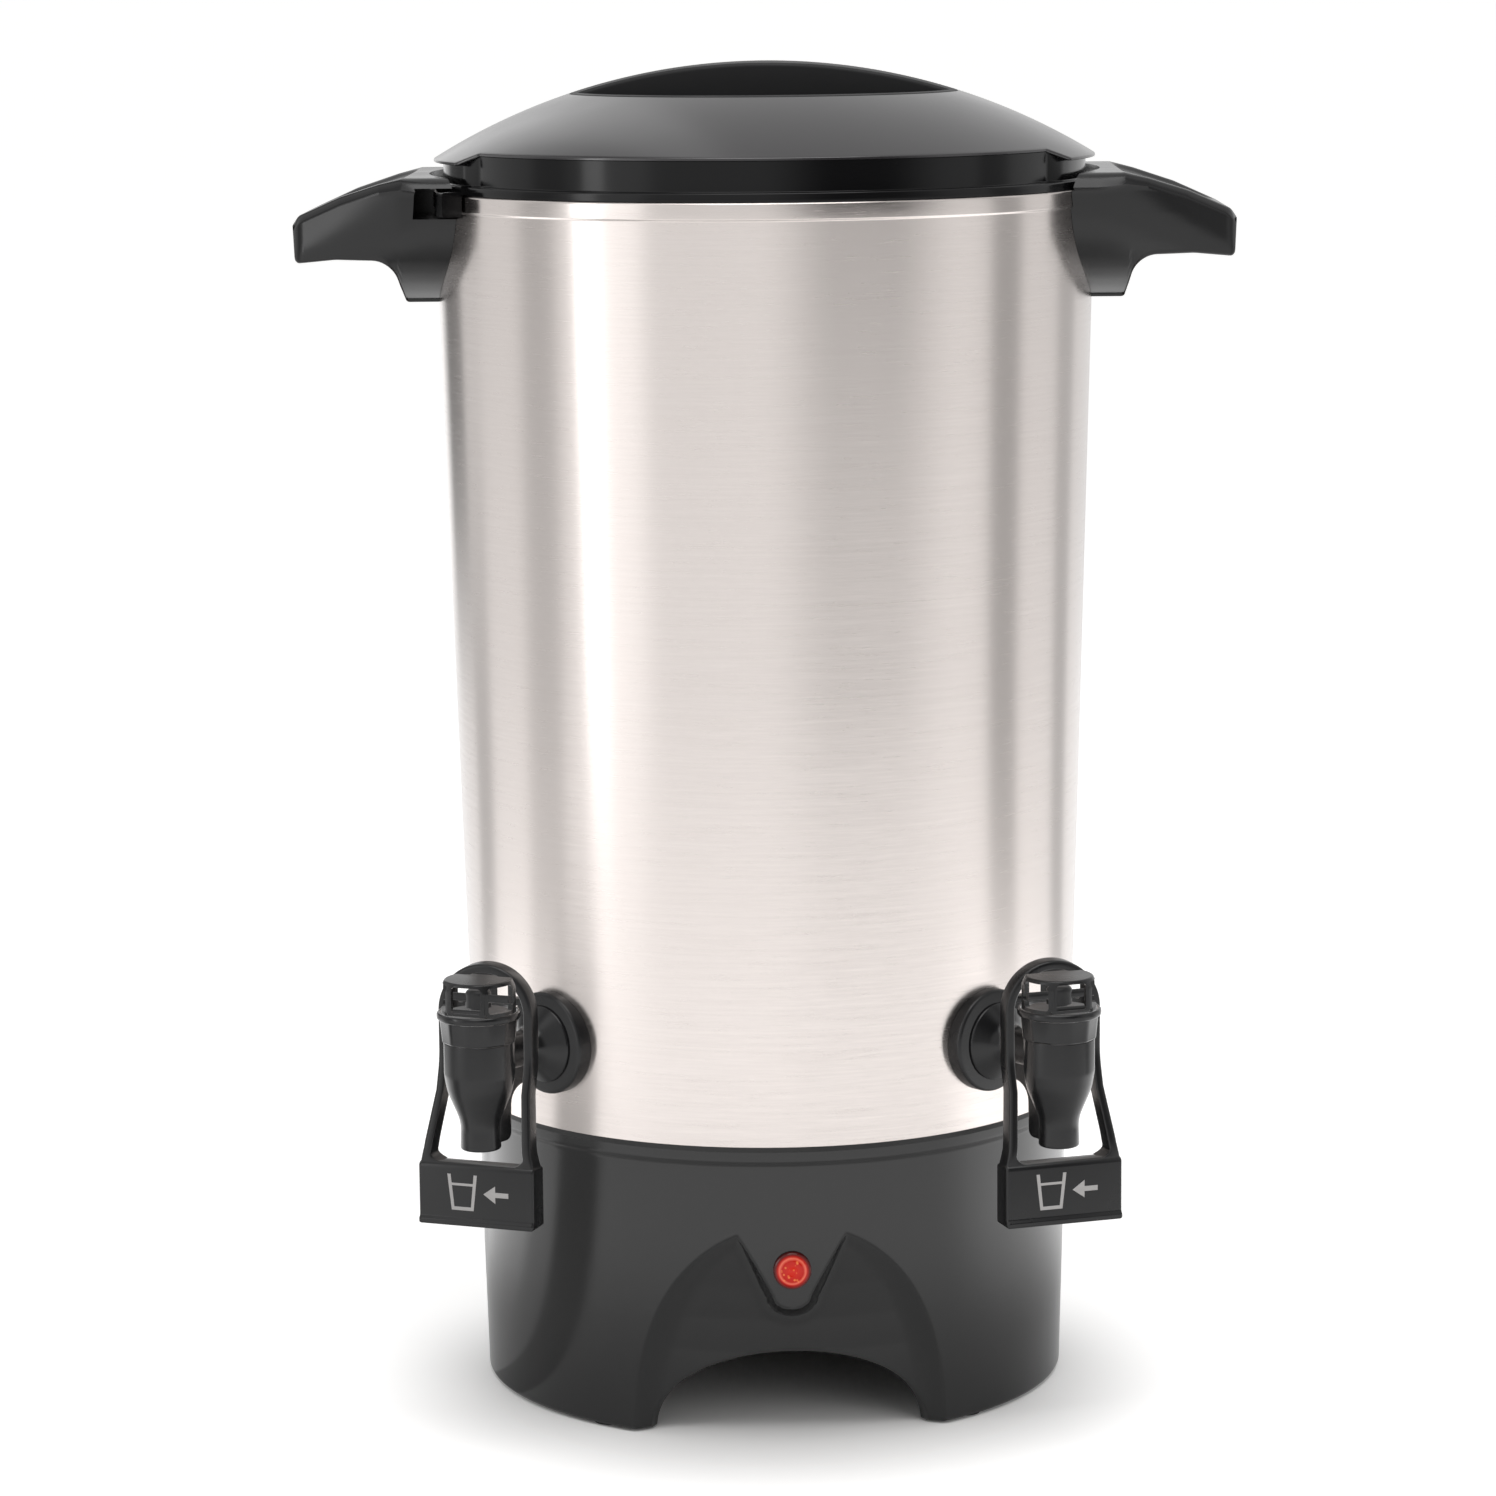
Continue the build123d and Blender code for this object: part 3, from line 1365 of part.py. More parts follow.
with BuildPart() as lever_hood:
    about_tap(
        [
            (0, lever_foot),
            (hood_r, lever_foot),
            (hood_r, hood_top - 5.4),
            (hood_r - 2.4, hood_top),
            (0, hood_top),
        ],
        [0, 0, 5.0, 1.4, 0],
    )
    front_cut = outline(lever_side, box_points(10.2, 20, lever_foot - 5, hood_top + 5))
    extrude(front_cut, amount=20, both=True, mode=Mode.SUBTRACT)
    bead_cut = outline(lever_side, box_points(bead_x, 20, lever_foot - 5, bead_height))
    extrude(bead_cut, amount=20, both=True, mode=Mode.SUBTRACT)
    with BuildSketch(Plane(origin=tap_centre + lever_out * bead_x + Vector(0, 0, bead_height), z_dir=lever_across)):
        Circle(bead_r)
    extrude(amount=6.4, both=True)
    about_tap(
        [
            (0, lever_foot - 5),
            (hood_r - hood_wall - 1.4, lever_foot - 5),
            (hood_r - hood_wall - 1.4, hood_top - hood_wall),
            (0, hood_top - hood_wall),
        ],
        [0, 0, 3.5, 0],
        mode=Mode.SUBTRACT,
    )
    for turn in (-54, 0, 54):
        window_plane = facing_plane(lever_azimuth + turn, tap_centre + outward(lever_azimuth + turn) * 5.5)
        with BuildSketch(window_plane):
            with Locations((0, lever_foot + 5.0)):
                RectangleRounded(7.6, 7.0, 1.2)
        extrude(amount=10, mode=Mode.SUBTRACT)

with BuildPart() as left_lever:
    add(lever_hood.part)
    add(lever_strap.part)
    gusset_foot = bonnet_top + 0.7
    gusset = outline(lever_side, box_points(-arm_set_back - arm_depth / 2, -6.2, gusset_foot, gusset_foot + 2.2))
    extrude(gusset, amount=arm_outer - 0.5, both=True)
    bridge_foot = hood_top - 1.4
    bridge = outline(lever_side, box_points(-arm_set_back - 2.0, -5.7, bridge_foot, hood_top + strap_rise - 1.2))
    extrude(bridge, amount=5, both=True)
    paddle_side = outline(
        lever_side,
        [
            (paddle_front - paddle_depth, paddle_foot),
            (paddle_front + paddle_lip, paddle_foot),
            (paddle_front + paddle_lip, paddle_foot + 1.6),
            (paddle_front, paddle_foot + 2.6),
            (paddle_front, paddle_top),
            (paddle_front - paddle_depth, paddle_top - 1.0),
        ],
        [0.8, 0.6, 0.4, 0.4, 1.6, 1.0],
    )
    extrude(paddle_side, amount=paddle_half_width, both=True)
    pocket_points = box_points(-10, paddle_front - paddle_wall, paddle_foot + paddle_wall, paddle_top - 3.0)
    pocket_side = outline(lever_side, pocket_points)
    extrude(pocket_side, amount=paddle_half_width - paddle_wall, both=True, mode=Mode.SUBTRACT)
    with BuildSketch(Plane(origin=tap_centre + Vector(0, 0, pin_height), z_dir=lever_across)):
        Circle(pin_r + 0.04)
    extrude(amount=13, both=True, mode=Mode.SUBTRACT)
    stem_room = box_points(0, stem_head_r + 1.6, lever_foot - 3, hood_top - hood_wall)
    about_tap(stem_room, mode=Mode.SUBTRACT)
finish(left_lever, "left_lever")

# ---------------------------------------------------------------- right-hand tap pieces
for piece, name in (
    (left_tap_body, "right_tap_body"),
    (left_wall_washer, "right_wall_washer"),
    (left_inner_washer, "right_inner_washer"),
    (left_shank_nut, "right_shank_nut"),
    (left_bonnet, "right_bonnet"),
    (left_rocker_plate, "right_rocker_plate"),
    (left_seat_cup, "right_seat_cup"),
    (left_stem, "right_stem"),
    (left_spring, "right_spring"),
    (left_pin, "right_pin"),
    (left_lever, "right_lever"),
):
    other_piece = mirrored(piece)
    finish(other_piece, name)
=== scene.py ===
"""Percolator coffee urn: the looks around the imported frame."""

from math import asin, cos, degrees, pi, radians, sin, sqrt, tan

import bmesh
import bpy
import numpy as np
from mathutils import Matrix, Vector


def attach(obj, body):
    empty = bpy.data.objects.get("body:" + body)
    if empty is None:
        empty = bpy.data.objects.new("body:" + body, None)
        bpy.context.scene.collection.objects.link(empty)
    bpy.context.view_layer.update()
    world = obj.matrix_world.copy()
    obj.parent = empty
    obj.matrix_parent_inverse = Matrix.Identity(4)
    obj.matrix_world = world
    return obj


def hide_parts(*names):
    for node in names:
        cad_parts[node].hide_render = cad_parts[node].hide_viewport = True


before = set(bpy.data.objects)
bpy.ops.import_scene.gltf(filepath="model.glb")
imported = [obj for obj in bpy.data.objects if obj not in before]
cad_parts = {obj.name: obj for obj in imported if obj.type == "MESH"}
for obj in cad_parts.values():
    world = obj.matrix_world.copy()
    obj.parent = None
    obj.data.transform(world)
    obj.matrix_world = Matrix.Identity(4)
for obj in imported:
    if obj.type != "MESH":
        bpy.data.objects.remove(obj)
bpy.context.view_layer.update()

# ---------------------------------------------------------------- camera
# A long lens about one and a half metres off, a little above the lid and a hair
# to the right of the taps' middle line.
camera_distance = 1.5562
camera_height = 0.4628
camera_side = -0.00698
camera_azimuth = radians(0.8)
camera_pitch = radians(9.352)
camera_roll = radians(0.5286)
lens_in_pixels = 4801.8
picture_side = 1496
sensor_width = 36


def placed(name, data):
    """A new object with this data, in the scene."""
    made = bpy.data.objects.new(name, data)
    bpy.context.scene.collection.objects.link(made)
    return made


camera_data = bpy.data.cameras.new("studio_camera")
camera_data.sensor_width = sensor_width
camera_data.lens = lens_in_pixels / picture_side * sensor_width
camera = placed("studio_camera", camera_data)
level_right = Vector((cos(camera_azimuth), sin(camera_azimuth), 0))
level_ahead = Vector((-sin(camera_azimuth), cos(camera_azimuth), 0))
ahead = level_ahead * cos(camera_pitch) - Vector((0, 0, sin(camera_pitch)))
level_up = level_right.cross(ahead)
camera_right = level_right * cos(camera_roll) - level_up * sin(camera_roll)
camera_up = level_right * sin(camera_roll) + level_up * cos(camera_roll)
camera_place = level_right * camera_side - level_ahead * camera_distance + Vector((0, 0, camera_height))
camera_stand = Matrix((camera_right, camera_up, -ahead)).transposed().to_4x4()
camera_stand.translation = camera_place
camera.matrix_world = camera_stand
bpy.context.scene.camera = camera
bpy.context.scene.view_settings.view_transform = "Standard"


# ---------------------------------------------------------------- studio
# White sweep, white room and soft boxes. Grey flags and a white strip stand round the urn,
# and the steel mirrors them as upright bands.
def linear(hex_colour):
    """An sRGB hex colour as linear red, green, blue and alpha."""
    parts = [int(hex_colour[i : i + 2], 16) / 255 for i in (1, 3, 5)]
    return [p / 12.92 if p <= 0.04045 else ((p + 0.055) / 1.055) ** 2.4 for p in parts] + [1.0]


def node(tree, kind, inputs=None, **settings):
    """Add a shader node. Each input takes another node's output or a plain value."""
    made = tree.nodes.new("ShaderNode" + kind)
    for key, value in settings.items():
        setattr(made, key, value)
    for key, value in (inputs or {}).items():
        if isinstance(value, bpy.types.NodeSocket):
            tree.links.new(value, made.inputs[key])
        else:
            made.inputs[key].default_value = value
    return made


def calculated(tree, operation, *values):
    """The output of a Math node."""
    return node(tree, "Math", dict(enumerate(values)), operation=operation).outputs[0]


def between(tree, value, low, high, start=0.0, end=1.0, smooth=False):
    """A value carried over from low and high to start and end, and held beyond them."""
    kind = "SMOOTHSTEP" if smooth else "LINEAR"
    limits = {"Value": value, "From Min": low, "From Max": high, "To Min": start, "To Max": end}
    return node(tree, "MapRange", limits, interpolation_type=kind).outputs[0]


def mixed(tree, share, first, second, **settings):
    """Two colours mixed by a share."""
    return node(tree, "Mix", {0: share, 6: first, 7: second}, data_type="RGBA", **settings).outputs[2]


def azimuth_share(tree, across, towards):
    """Azimuth of a direction or place, from -180 to 180 degrees, as a share from 0 to 1."""
    in_front = calculated(tree, "MULTIPLY", towards, -1.0)
    return between(tree, calculated(tree, "ARCTAN2", across, in_front), -pi, pi)


def panels(tree, share, base, cards):
    """Grey level over azimuth: a base with cards of (azimuth, half width, blur, level) stood in it."""
    made = node(tree, "ValToRGB", {0: share})
    ramp = made.color_ramp
    ramp.interpolation = "EASE"
    for end in ramp.elements:
        end.color = [base / level_span] * 3 + [1]
    for azimuth, half_width, blur, level in cards:
        outer = half_width + blur
        for off, shade in ((-outer, base), (-half_width, level), (half_width, level), (outer, base)):
            ramp.elements.new((azimuth + off + 180) / 360).color = [shade / level_span] * 3 + [1]
    return made.outputs[0]


room_white = "#ffffff"
room_diffuse_level = 0.62
level_span = 2.0
room_base = 0.88
room_cards = [
    (-165, 3, 4, 1.3), (-143, 7, 6, 0.20), (-84, 5, 6, 0.55), (-53, 8, 7, 1.5),
    (35, 9, 28, 0.10), (92, 5, 5, 0.45), (131, 5, 5, 0.60),
]
world = bpy.data.worlds.new("white_room")
bpy.context.scene.world = world
world.use_nodes = True
sky = world.node_tree
sky.nodes.clear()
sky_way = node(sky, "SeparateXYZ", {0: node(sky, "TexCoord").outputs["Generated"]}).outputs
sky_levels = panels(sky, azimuth_share(sky, sky_way["X"], sky_way["Y"]), room_base, room_cards)
rays = node(sky, "LightPath").outputs
mirrored_room = node(sky, "Background", {"Color": sky_levels, "Strength": level_span})
lit_room = node(sky, "Background", {"Color": linear(room_white), "Strength": room_diffuse_level})
seen_room = node(sky, "Background", {"Color": linear(room_white), "Strength": 1.0})
lit_mix = {0: rays["Is Glossy Ray"], 1: lit_room.outputs[0], 2: mirrored_room.outputs[0]}
lit_or_mirrored = node(sky, "MixShader", lit_mix)
straight_ray = calculated(sky, "MAXIMUM", rays["Is Camera Ray"], rays["Is Transmission Ray"])
room = node(sky, "MixShader", {0: straight_ray, 1: lit_or_mirrored.outputs[0], 2: seen_room.outputs[0]})
node(sky, "OutputWorld", {0: room.outputs[0]})


urn_middle = 0.22


def soft_box(name, azimuth, height, distance, width, tall, power, mirrored_too=True):
    """An upright soft box that looks at the middle of the urn. It may be left out of mirror images."""
    lamp = bpy.data.lights.new(name, "AREA")
    lamp.shape = "RECTANGLE"
    lamp.size = width
    lamp.size_y = tall
    lamp.energy = power
    holder = placed(name, lamp)
    angle = radians(azimuth)
    holder.location = (distance * sin(angle), -distance * cos(angle), height)
    aim = Vector((0, 0, urn_middle)) - holder.location
    holder.rotation_euler = aim.to_track_quat("-Z", "Y").to_euler()
    holder.visible_glossy = mirrored_too


soft_box("key_soft_box", -62, 0.55, 1.6, 0.24, 1.6, 3.2)
soft_box("fill_soft_box", 40, 0.6, 2.2, 1.3, 1.5, 10, mirrored_too=False)
soft_box("top_soft_box", 10, 1.9, 0.5, 1.2, 1.2, 12)

# White paper floor. It glows a little to the camera, away from the urn, so that it clears
# to white. The glow fades out in a patch round the urn, set a little forward: a painted shadow
# over the shadow the lamps cast. To glossy rays the paper is painted with the room's grey bands
# and is darker near the urn, so the steel shows painted reflections of them.
floor_half = 60.0
paper_white = "#f0efee"
floor_fill = 0.47
floor_lit_level = 0.58
floor_lit_share = 0.86
# Reach, core and centre of a painted shadow: a patch round the urn, set a little forward, where the paper's
# glow to the camera fades out.
shadow_reach = 0.150
shadow_core = 0.062
shadow_centre = (0.0, -0.028, 0.0)
# In mirror images the glow fades out further round the urn: a painted shadow in the reflection.
mirrored_shadow_core = 0.135
mirrored_shadow_reach = 0.31
base_sees_to = 0.44
steel_sees_from = 0.52
floor_ends = 1.45
room_begins = 2.3
# Grey levels over azimuth that the paper shows only to glossy rays: painted reflections of dark flags and a
# white strip.
floor_base = 1.03
painted_floor_cards = [
    (-126, 4, 6, 0.52), (-86, 6, 6, 0.62), (-55, 7, 6, 1.18), (92, 5, 5, 0.45), (131, 4, 5, 0.54),
]
near_base = 1.2
painted_near_cards = [(-113, 15, 7, 2.0), (-71, 8, 3, 0.36), (100, 18, 26, 1.9)]
floor_corners = [(x * floor_half, y * floor_half, 0) for x, y in ((-1, -1), (1, -1), (1, 1), (-1, 1))]
floor_mesh = bpy.data.meshes.new("sweep_floor")
floor_mesh.from_pydata(floor_corners, [], [(0, 1, 2, 3)])
floor = placed("sweep_floor", floor_mesh)
sweep = bpy.data.materials.new("white_paper_sweep")
sweep.use_nodes = True
paper = sweep.node_tree
paper.nodes.clear()
paper_rays = node(paper, "LightPath").outputs
paper_place = node(paper, "NewGeometry").outputs["Position"]
paper_xyz = node(paper, "SeparateXYZ", {0: paper_place}).outputs
paper_way = azimuth_share(paper, paper_xyz["X"], paper_xyz["Y"])
paper_far = node(paper, "VectorMath", {0: paper_place}, operation="LENGTH").outputs["Value"]
near_share = between(paper, paper_far, steel_sees_from, base_sees_to, smooth=True)
far_share = between(paper, paper_far, floor_ends, room_begins, smooth=True)
near_levels = panels(paper, paper_way, near_base, painted_near_cards)
floor_levels = mixed(paper, near_share, panels(paper, paper_way, floor_base, painted_floor_cards), near_levels)
levels = mixed(paper, far_share, floor_levels, panels(paper, paper_way, room_base, room_cards))
# The paper's glow for glossy rays follows the grey levels and fades out near the urn: painted reflections,
# with a painted shadow in them.
wanted_glow = calculated(paper, "MULTIPLY_ADD", levels, level_span, -floor_lit_level)
painted_reflection_glow = calculated(paper, "MAXIMUM", wanted_glow, 0.0)
out_of_shadow = between(paper, paper_far, mirrored_shadow_core, mirrored_shadow_reach, smooth=True)
glow_part = calculated(paper, "MULTIPLY", painted_reflection_glow, out_of_shadow)
painted_reflection_part = calculated(paper, "MULTIPLY", glow_part, paper_rays["Is Glossy Ray"])
# The camera's glow fades out in the patch round the urn: a painted shadow on the paper.
shadow_gap = {0: paper_place, 1: shadow_centre}
shadow_far = node(paper, "VectorMath", shadow_gap, operation="DISTANCE").outputs["Value"]
camera_glow = between(paper, shadow_far, shadow_core, shadow_reach, end=floor_fill, smooth=True)
straight_ray = calculated(paper, "MAXIMUM", paper_rays["Is Camera Ray"], paper_rays["Is Transmission Ray"])
paper_fill = calculated(paper, "MULTIPLY_ADD", camera_glow, straight_ray, painted_reflection_part)
# To glossy rays the paper's colour is greyed by the levels: painted reflections of the bands.
painted_reflection_tone = between(paper, levels, 0.0, floor_lit_level / level_span, end=floor_lit_share)
paper_tone = mixed(paper, paper_rays["Is Glossy Ray"], linear(paper_white), painted_reflection_tone)
paper_diffuse = node(paper, "BsdfDiffuse", {"Color": paper_tone})
paper_glow = node(paper, "Emission", {"Color": linear("#ffffff"), "Strength": paper_fill})
paper_sum = node(paper, "AddShader", {0: paper_diffuse.outputs[0], 1: paper_glow.outputs[0]})
node(paper, "OutputMaterial", {0: paper_sum.outputs[0]})
floor_mesh.materials.append(sweep)


# ---------------------------------------------------------------- vessel
# Stainless steel sheet, rolled into a cone, welded down the back and brushed round
# and round. Its top edge is folded into a hem, and the floor is pressed in.
mm = 0.001
seam_height = 96.2
vessel_foot_r = 98.6
vessel_neck_r = 106.0
rim_foot = 384.3
vessel_top = 389.9
rim_r = 106.6
rim_wall = 1.6
vessel_wall = 0.8
floor_level = 104.0
well_hole_r = 18.0


def wall_r(height):
    """Outer radius of the steel cone at a height."""
    share = (height - seam_height) / (rim_foot - seam_height)
    return vessel_foot_r + (vessel_neck_r - vessel_foot_r) * share


def rounded(points, radii, steps=5):
    """A closed outline whose corners are rounded, as a list of points."""
    radii = radii if isinstance(radii, (list, tuple)) else [radii] * len(points)
    done = []
    for i, corner in enumerate(points):
        here = Vector(corner)
        to_last = (Vector(points[i - 1]) - here).normalized()
        to_next = (Vector(points[(i + 1) % len(points)]) - here).normalized()
        opening = to_last.angle(to_next)
        if radii[i] <= 0 or opening > pi - 0.02:
            done.append(tuple(here))
            continue
        reach = radii[i] / tan(opening / 2)
        centre = here + (to_last + to_next).normalized() * (radii[i] / sin(opening / 2))
        first = here + to_last * reach - centre
        last = here + to_next * reach - centre
        sweep_angle = first.angle_signed(last)
        for step in range(steps + 1):
            turned_arm = Matrix.Rotation(-sweep_angle * step / steps, 2) @ first
            done.append(tuple(centre + turned_arm))
    return done


def skin(name, loops, ring=True, capped=False):
    """A mesh whose skin runs over closed loops of points in mm. A ring joins its last loop to its first."""
    count = len(loops[0])
    points = [tuple(Vector(p) * mm) for loop in loops for p in loop]
    faces = []
    for i in range(len(loops) if ring else len(loops) - 1):
        j = (i + 1) % len(loops)
        for k in range(count):
            m = (k + 1) % count
            faces.append((i * count + k, i * count + m, j * count + m, j * count + k))
    if capped:
        faces.append(tuple(range(count))[::-1])
        faces.append(tuple(range(len(points) - count, len(points))))
    mesh = bpy.data.meshes.new(name)
    mesh.from_pydata(points, [], faces)
    work = bmesh.new()
    work.from_mesh(mesh)
    bmesh.ops.remove_doubles(work, verts=work.verts, dist=1e-6)
    bmesh.ops.dissolve_degenerate(work, edges=work.edges, dist=1e-7)
    bmesh.ops.recalc_face_normals(work, faces=work.faces)
    work.to_mesh(mesh)
    work.free()
    return placed(name, mesh)


def turned(name, outline, turns=180, place=None):
    """A closed (radius, height) outline in mm turned round the upright axis, then put in its place."""
    loops = []
    for step in range(turns):
        angle = 2 * pi * step / turns
        loops.append([(r * cos(angle), r * sin(angle), z) for r, z in outline])
    made = skin(name, loops)
    if place is not None:
        made.data.transform(place)
    return made


def finished(piece, material, body="urn", nodes=(), sharp=32):
    """Give a piece its material, smooth faces up to an angle, its body, and the nodes it stands for."""
    piece.data.materials.clear()
    piece.data.materials.append(material)
    piece.data.shade_smooth()
    piece.data.set_sharp_from_angle(angle=radians(sharp))
    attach(piece, body)
    if nodes:
        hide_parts(*nodes)
    return piece


def new_material(name):
    """A node material with nothing in it yet, and its tree."""
    material = bpy.data.materials.new(name)
    material.use_nodes = True
    material.node_tree.nodes.clear()
    return material, material.node_tree


def covered(tree, looks):
    """End a material with a shader that has these looks."""
    node(tree, "OutputMaterial", {0: node(tree, "BsdfPrincipled", looks).outputs[0]})


def noise(tree, place, size, detail, roughness=0.5):
    """A noise pattern whose spots are a size across, in the unit of its coordinates."""
    inputs = {"Vector": place, "Scale": 1 / size, "Detail": detail, "Roughness": roughness}
    return node(tree, "TexNoise", inputs).outputs[0]


def bumped(tree, height, strength, depth_mm, **below):
    """A bump from a pattern, with a depth in mm. It may lie on another bump."""
    inputs = {"Height": height, "Strength": strength, "Distance": depth_mm * mm, **below}
    return node(tree, "Bump", inputs).outputs[0]


def around_and_up(tree, arc_mm, up_mm, radius=102.0):
    """Pattern coordinates that run round the urn and up it, one unit per given size in mm."""
    place = node(tree, "TexCoord").outputs["Object"]
    xyz = node(tree, "SeparateXYZ", {0: place}).outputs
    angle = calculated(tree, "ARCTAN2", xyz["X"], calculated(tree, "MULTIPLY", xyz["Y"], -1.0))
    arc = calculated(tree, "MULTIPLY", angle, radius / arc_mm)
    up = calculated(tree, "MULTIPLY", xyz["Z"], 1 / (up_mm * mm))
    return node(tree, "CombineXYZ", {0: arc, 1: up}).outputs[0]


# Brushed stainless steel: lines run round the cone, a real 0.05 mm apart. They are drawn
# coarser, about 0.5 mm, so that they show. Bands of reflection stay upright, with ragged sides.
steel_colour = "#d9d2ce"
steel_dull_colour = "#d0c8c4"
steel_bump_depth = 0.014
steel, tree = new_material("brushed_stainless_steel")
fine_lines = noise(tree, around_and_up(tree, 9.0, 0.45), 1.0, 4.0, 0.6)
long_lines = noise(tree, around_and_up(tree, 45.0, 1.3), 1.0, 5.0, 0.7)
lines = calculated(tree, "ADD", fine_lines, long_lines)
steel_looks = {
    "Base Color": mixed(tree, long_lines, linear(steel_colour), linear(steel_dull_colour)),
    "Metallic": 1.0,
    "Roughness": between(tree, lines, 0.6, 1.4, 0.20, 0.30),
    "Normal": bumped(tree, lines, 0.25, steel_bump_depth),
    "Tangent": node(tree, "Tangent", direction_type="RADIAL", axis="Z").outputs[0],
    "Anisotropic": 0.8,
    "Anisotropic Rotation": 0.25,
}
covered(tree, steel_looks)

inner_floor_r = wall_r(floor_level) - vessel_wall
hem_inner_r = rim_r - rim_wall
floor_underside = floor_level - vessel_wall
vessel_outline = rounded(
    [
        (vessel_foot_r, seam_height), (wall_r(240), 240.0), (vessel_neck_r, rim_foot),
        (rim_r, rim_foot + 0.6), (rim_r, vessel_top), (hem_inner_r, vessel_top), (hem_inner_r, rim_foot),
        (wall_r(rim_foot - 1.5) - vessel_wall, rim_foot - 1.5), (inner_floor_r, floor_level),
        (well_hole_r, floor_level), (well_hole_r, floor_underside),
        (wall_r(floor_underside) - vessel_wall, floor_underside),
        (vessel_foot_r - vessel_wall, seam_height),
    ],
    [0.25, 0, 0.5, 0.4, 0.7, 0.7, 0, 0, 5.0, 0, 0, 0, 0.25],
)
vessel = turned("vessel_shell", vessel_outline, turns=360)
finished(vessel, steel, nodes=["vessel"], sharp=40)


# ---------------------------------------------------------------- base skirt
# One black phenolic moulding, semi-gloss, with a broad arch pressed into its front. A
# tongue comes down into the arch and carries the pilot light.
foot_gap = 0.8
base_height = 94.6
base_foot_r = 95.2
base_belly_r = 96.2
base_belly_height = 40.0
base_neck_height = 90.0
base_neck_r = 97.3
ledge_r = 98.2
ledge_inner_r = 88.0
base_wall = 2.6
base_clocking = 4.0
recess_r = 89.2
arch_half_width = 50.0
arch_height = 73.0
arch_tail_angle = 6
arch_steps = 120
inner_half_width = 43.5
inner_height = 27.5
side_slope = 0.53
tongue_peak_x = 16.3
tongue_tip_x = 5.6
tongue_shoulder = 47.5
tongue_tip = 43.6


def base_r(height):
    """Outer radius of the skirt at a height."""
    heights = [foot_gap, base_belly_height, base_neck_height, base_neck_height + 1.4, base_height]
    return float(np.interp(height, heights, [base_foot_r, base_belly_r, base_neck_r, ledge_r, ledge_r]))


def cove_r(height):
    """Radius of the recess's floor at a height."""
    heights = [0, inner_height, inner_height + 11, inner_height + 22, inner_height + 37, inner_height + 50]
    radii = [recess_r, recess_r, recess_r + 0.7, recess_r + 2.2, recess_r + 5.2, ledge_r]
    return float(np.interp(height, heights, radii))


def arch_line():
    """The recess's outline on the skirt, as (arc length, height) points from left to right."""
    half_line = []
    for step in range(arch_steps + 1):
        angle = radians(-arch_tail_angle + (90 + arch_tail_angle) * step / arch_steps)
        ahead_there = sqrt(base_belly_r**2 - (arch_half_width * cos(angle)) ** 2)
        ahead_at_foot = sqrt(base_belly_r**2 - arch_half_width**2)
        rise = arch_height + (ahead_there - base_belly_r) * side_slope
        side = (arch_half_width + (ahead_there - ahead_at_foot) * side_slope) * cos(angle)
        if side < tongue_peak_x:
            break
        half_line.append((base_belly_r * asin(side / base_belly_r), rise * sin(angle)))
    half_line.append((tongue_tip_x, tongue_shoulder))
    for step in range(1, 9):
        angle = radians(90 * step / 8)
        drop = (tongue_shoulder - tongue_tip) * sin(angle)
        half_line.append((tongue_tip_x * cos(angle), tongue_shoulder - drop))
    return half_line + [(-a, z) for a, z in half_line[-2::-1]]


arch_points = np.array(arch_line())


def signed_reach(arcs, heights):
    """Distance of points to the recess's outline, positive inside the recess."""
    best = np.full(len(arcs), 1e9)
    for start, end in zip(arch_points[:-1], arch_points[1:]):
        span = end - start
        along = ((arcs - start[0]) * span[0] + (heights - start[1]) * span[1]) / span.dot(span)
        along = np.clip(along, 0, 1)
        gap = np.hypot(arcs - start[0] - along * span[0], heights - start[1] - along * span[1])
        best = np.minimum(best, gap)
    order = np.argsort(arch_points[:, 0])
    top = np.interp(arcs, arch_points[order, 0], arch_points[order, 1], left=-9, right=-9)
    return np.where(heights < top, best, -best)


def soft_least(a, b, blend_width):
    """The smaller of two values, blended where they are close."""
    share = np.clip(0.5 + 0.5 * (b - a) / blend_width, 0, 1)
    return b + (a - b) * share - blend_width * share * (1 - share)


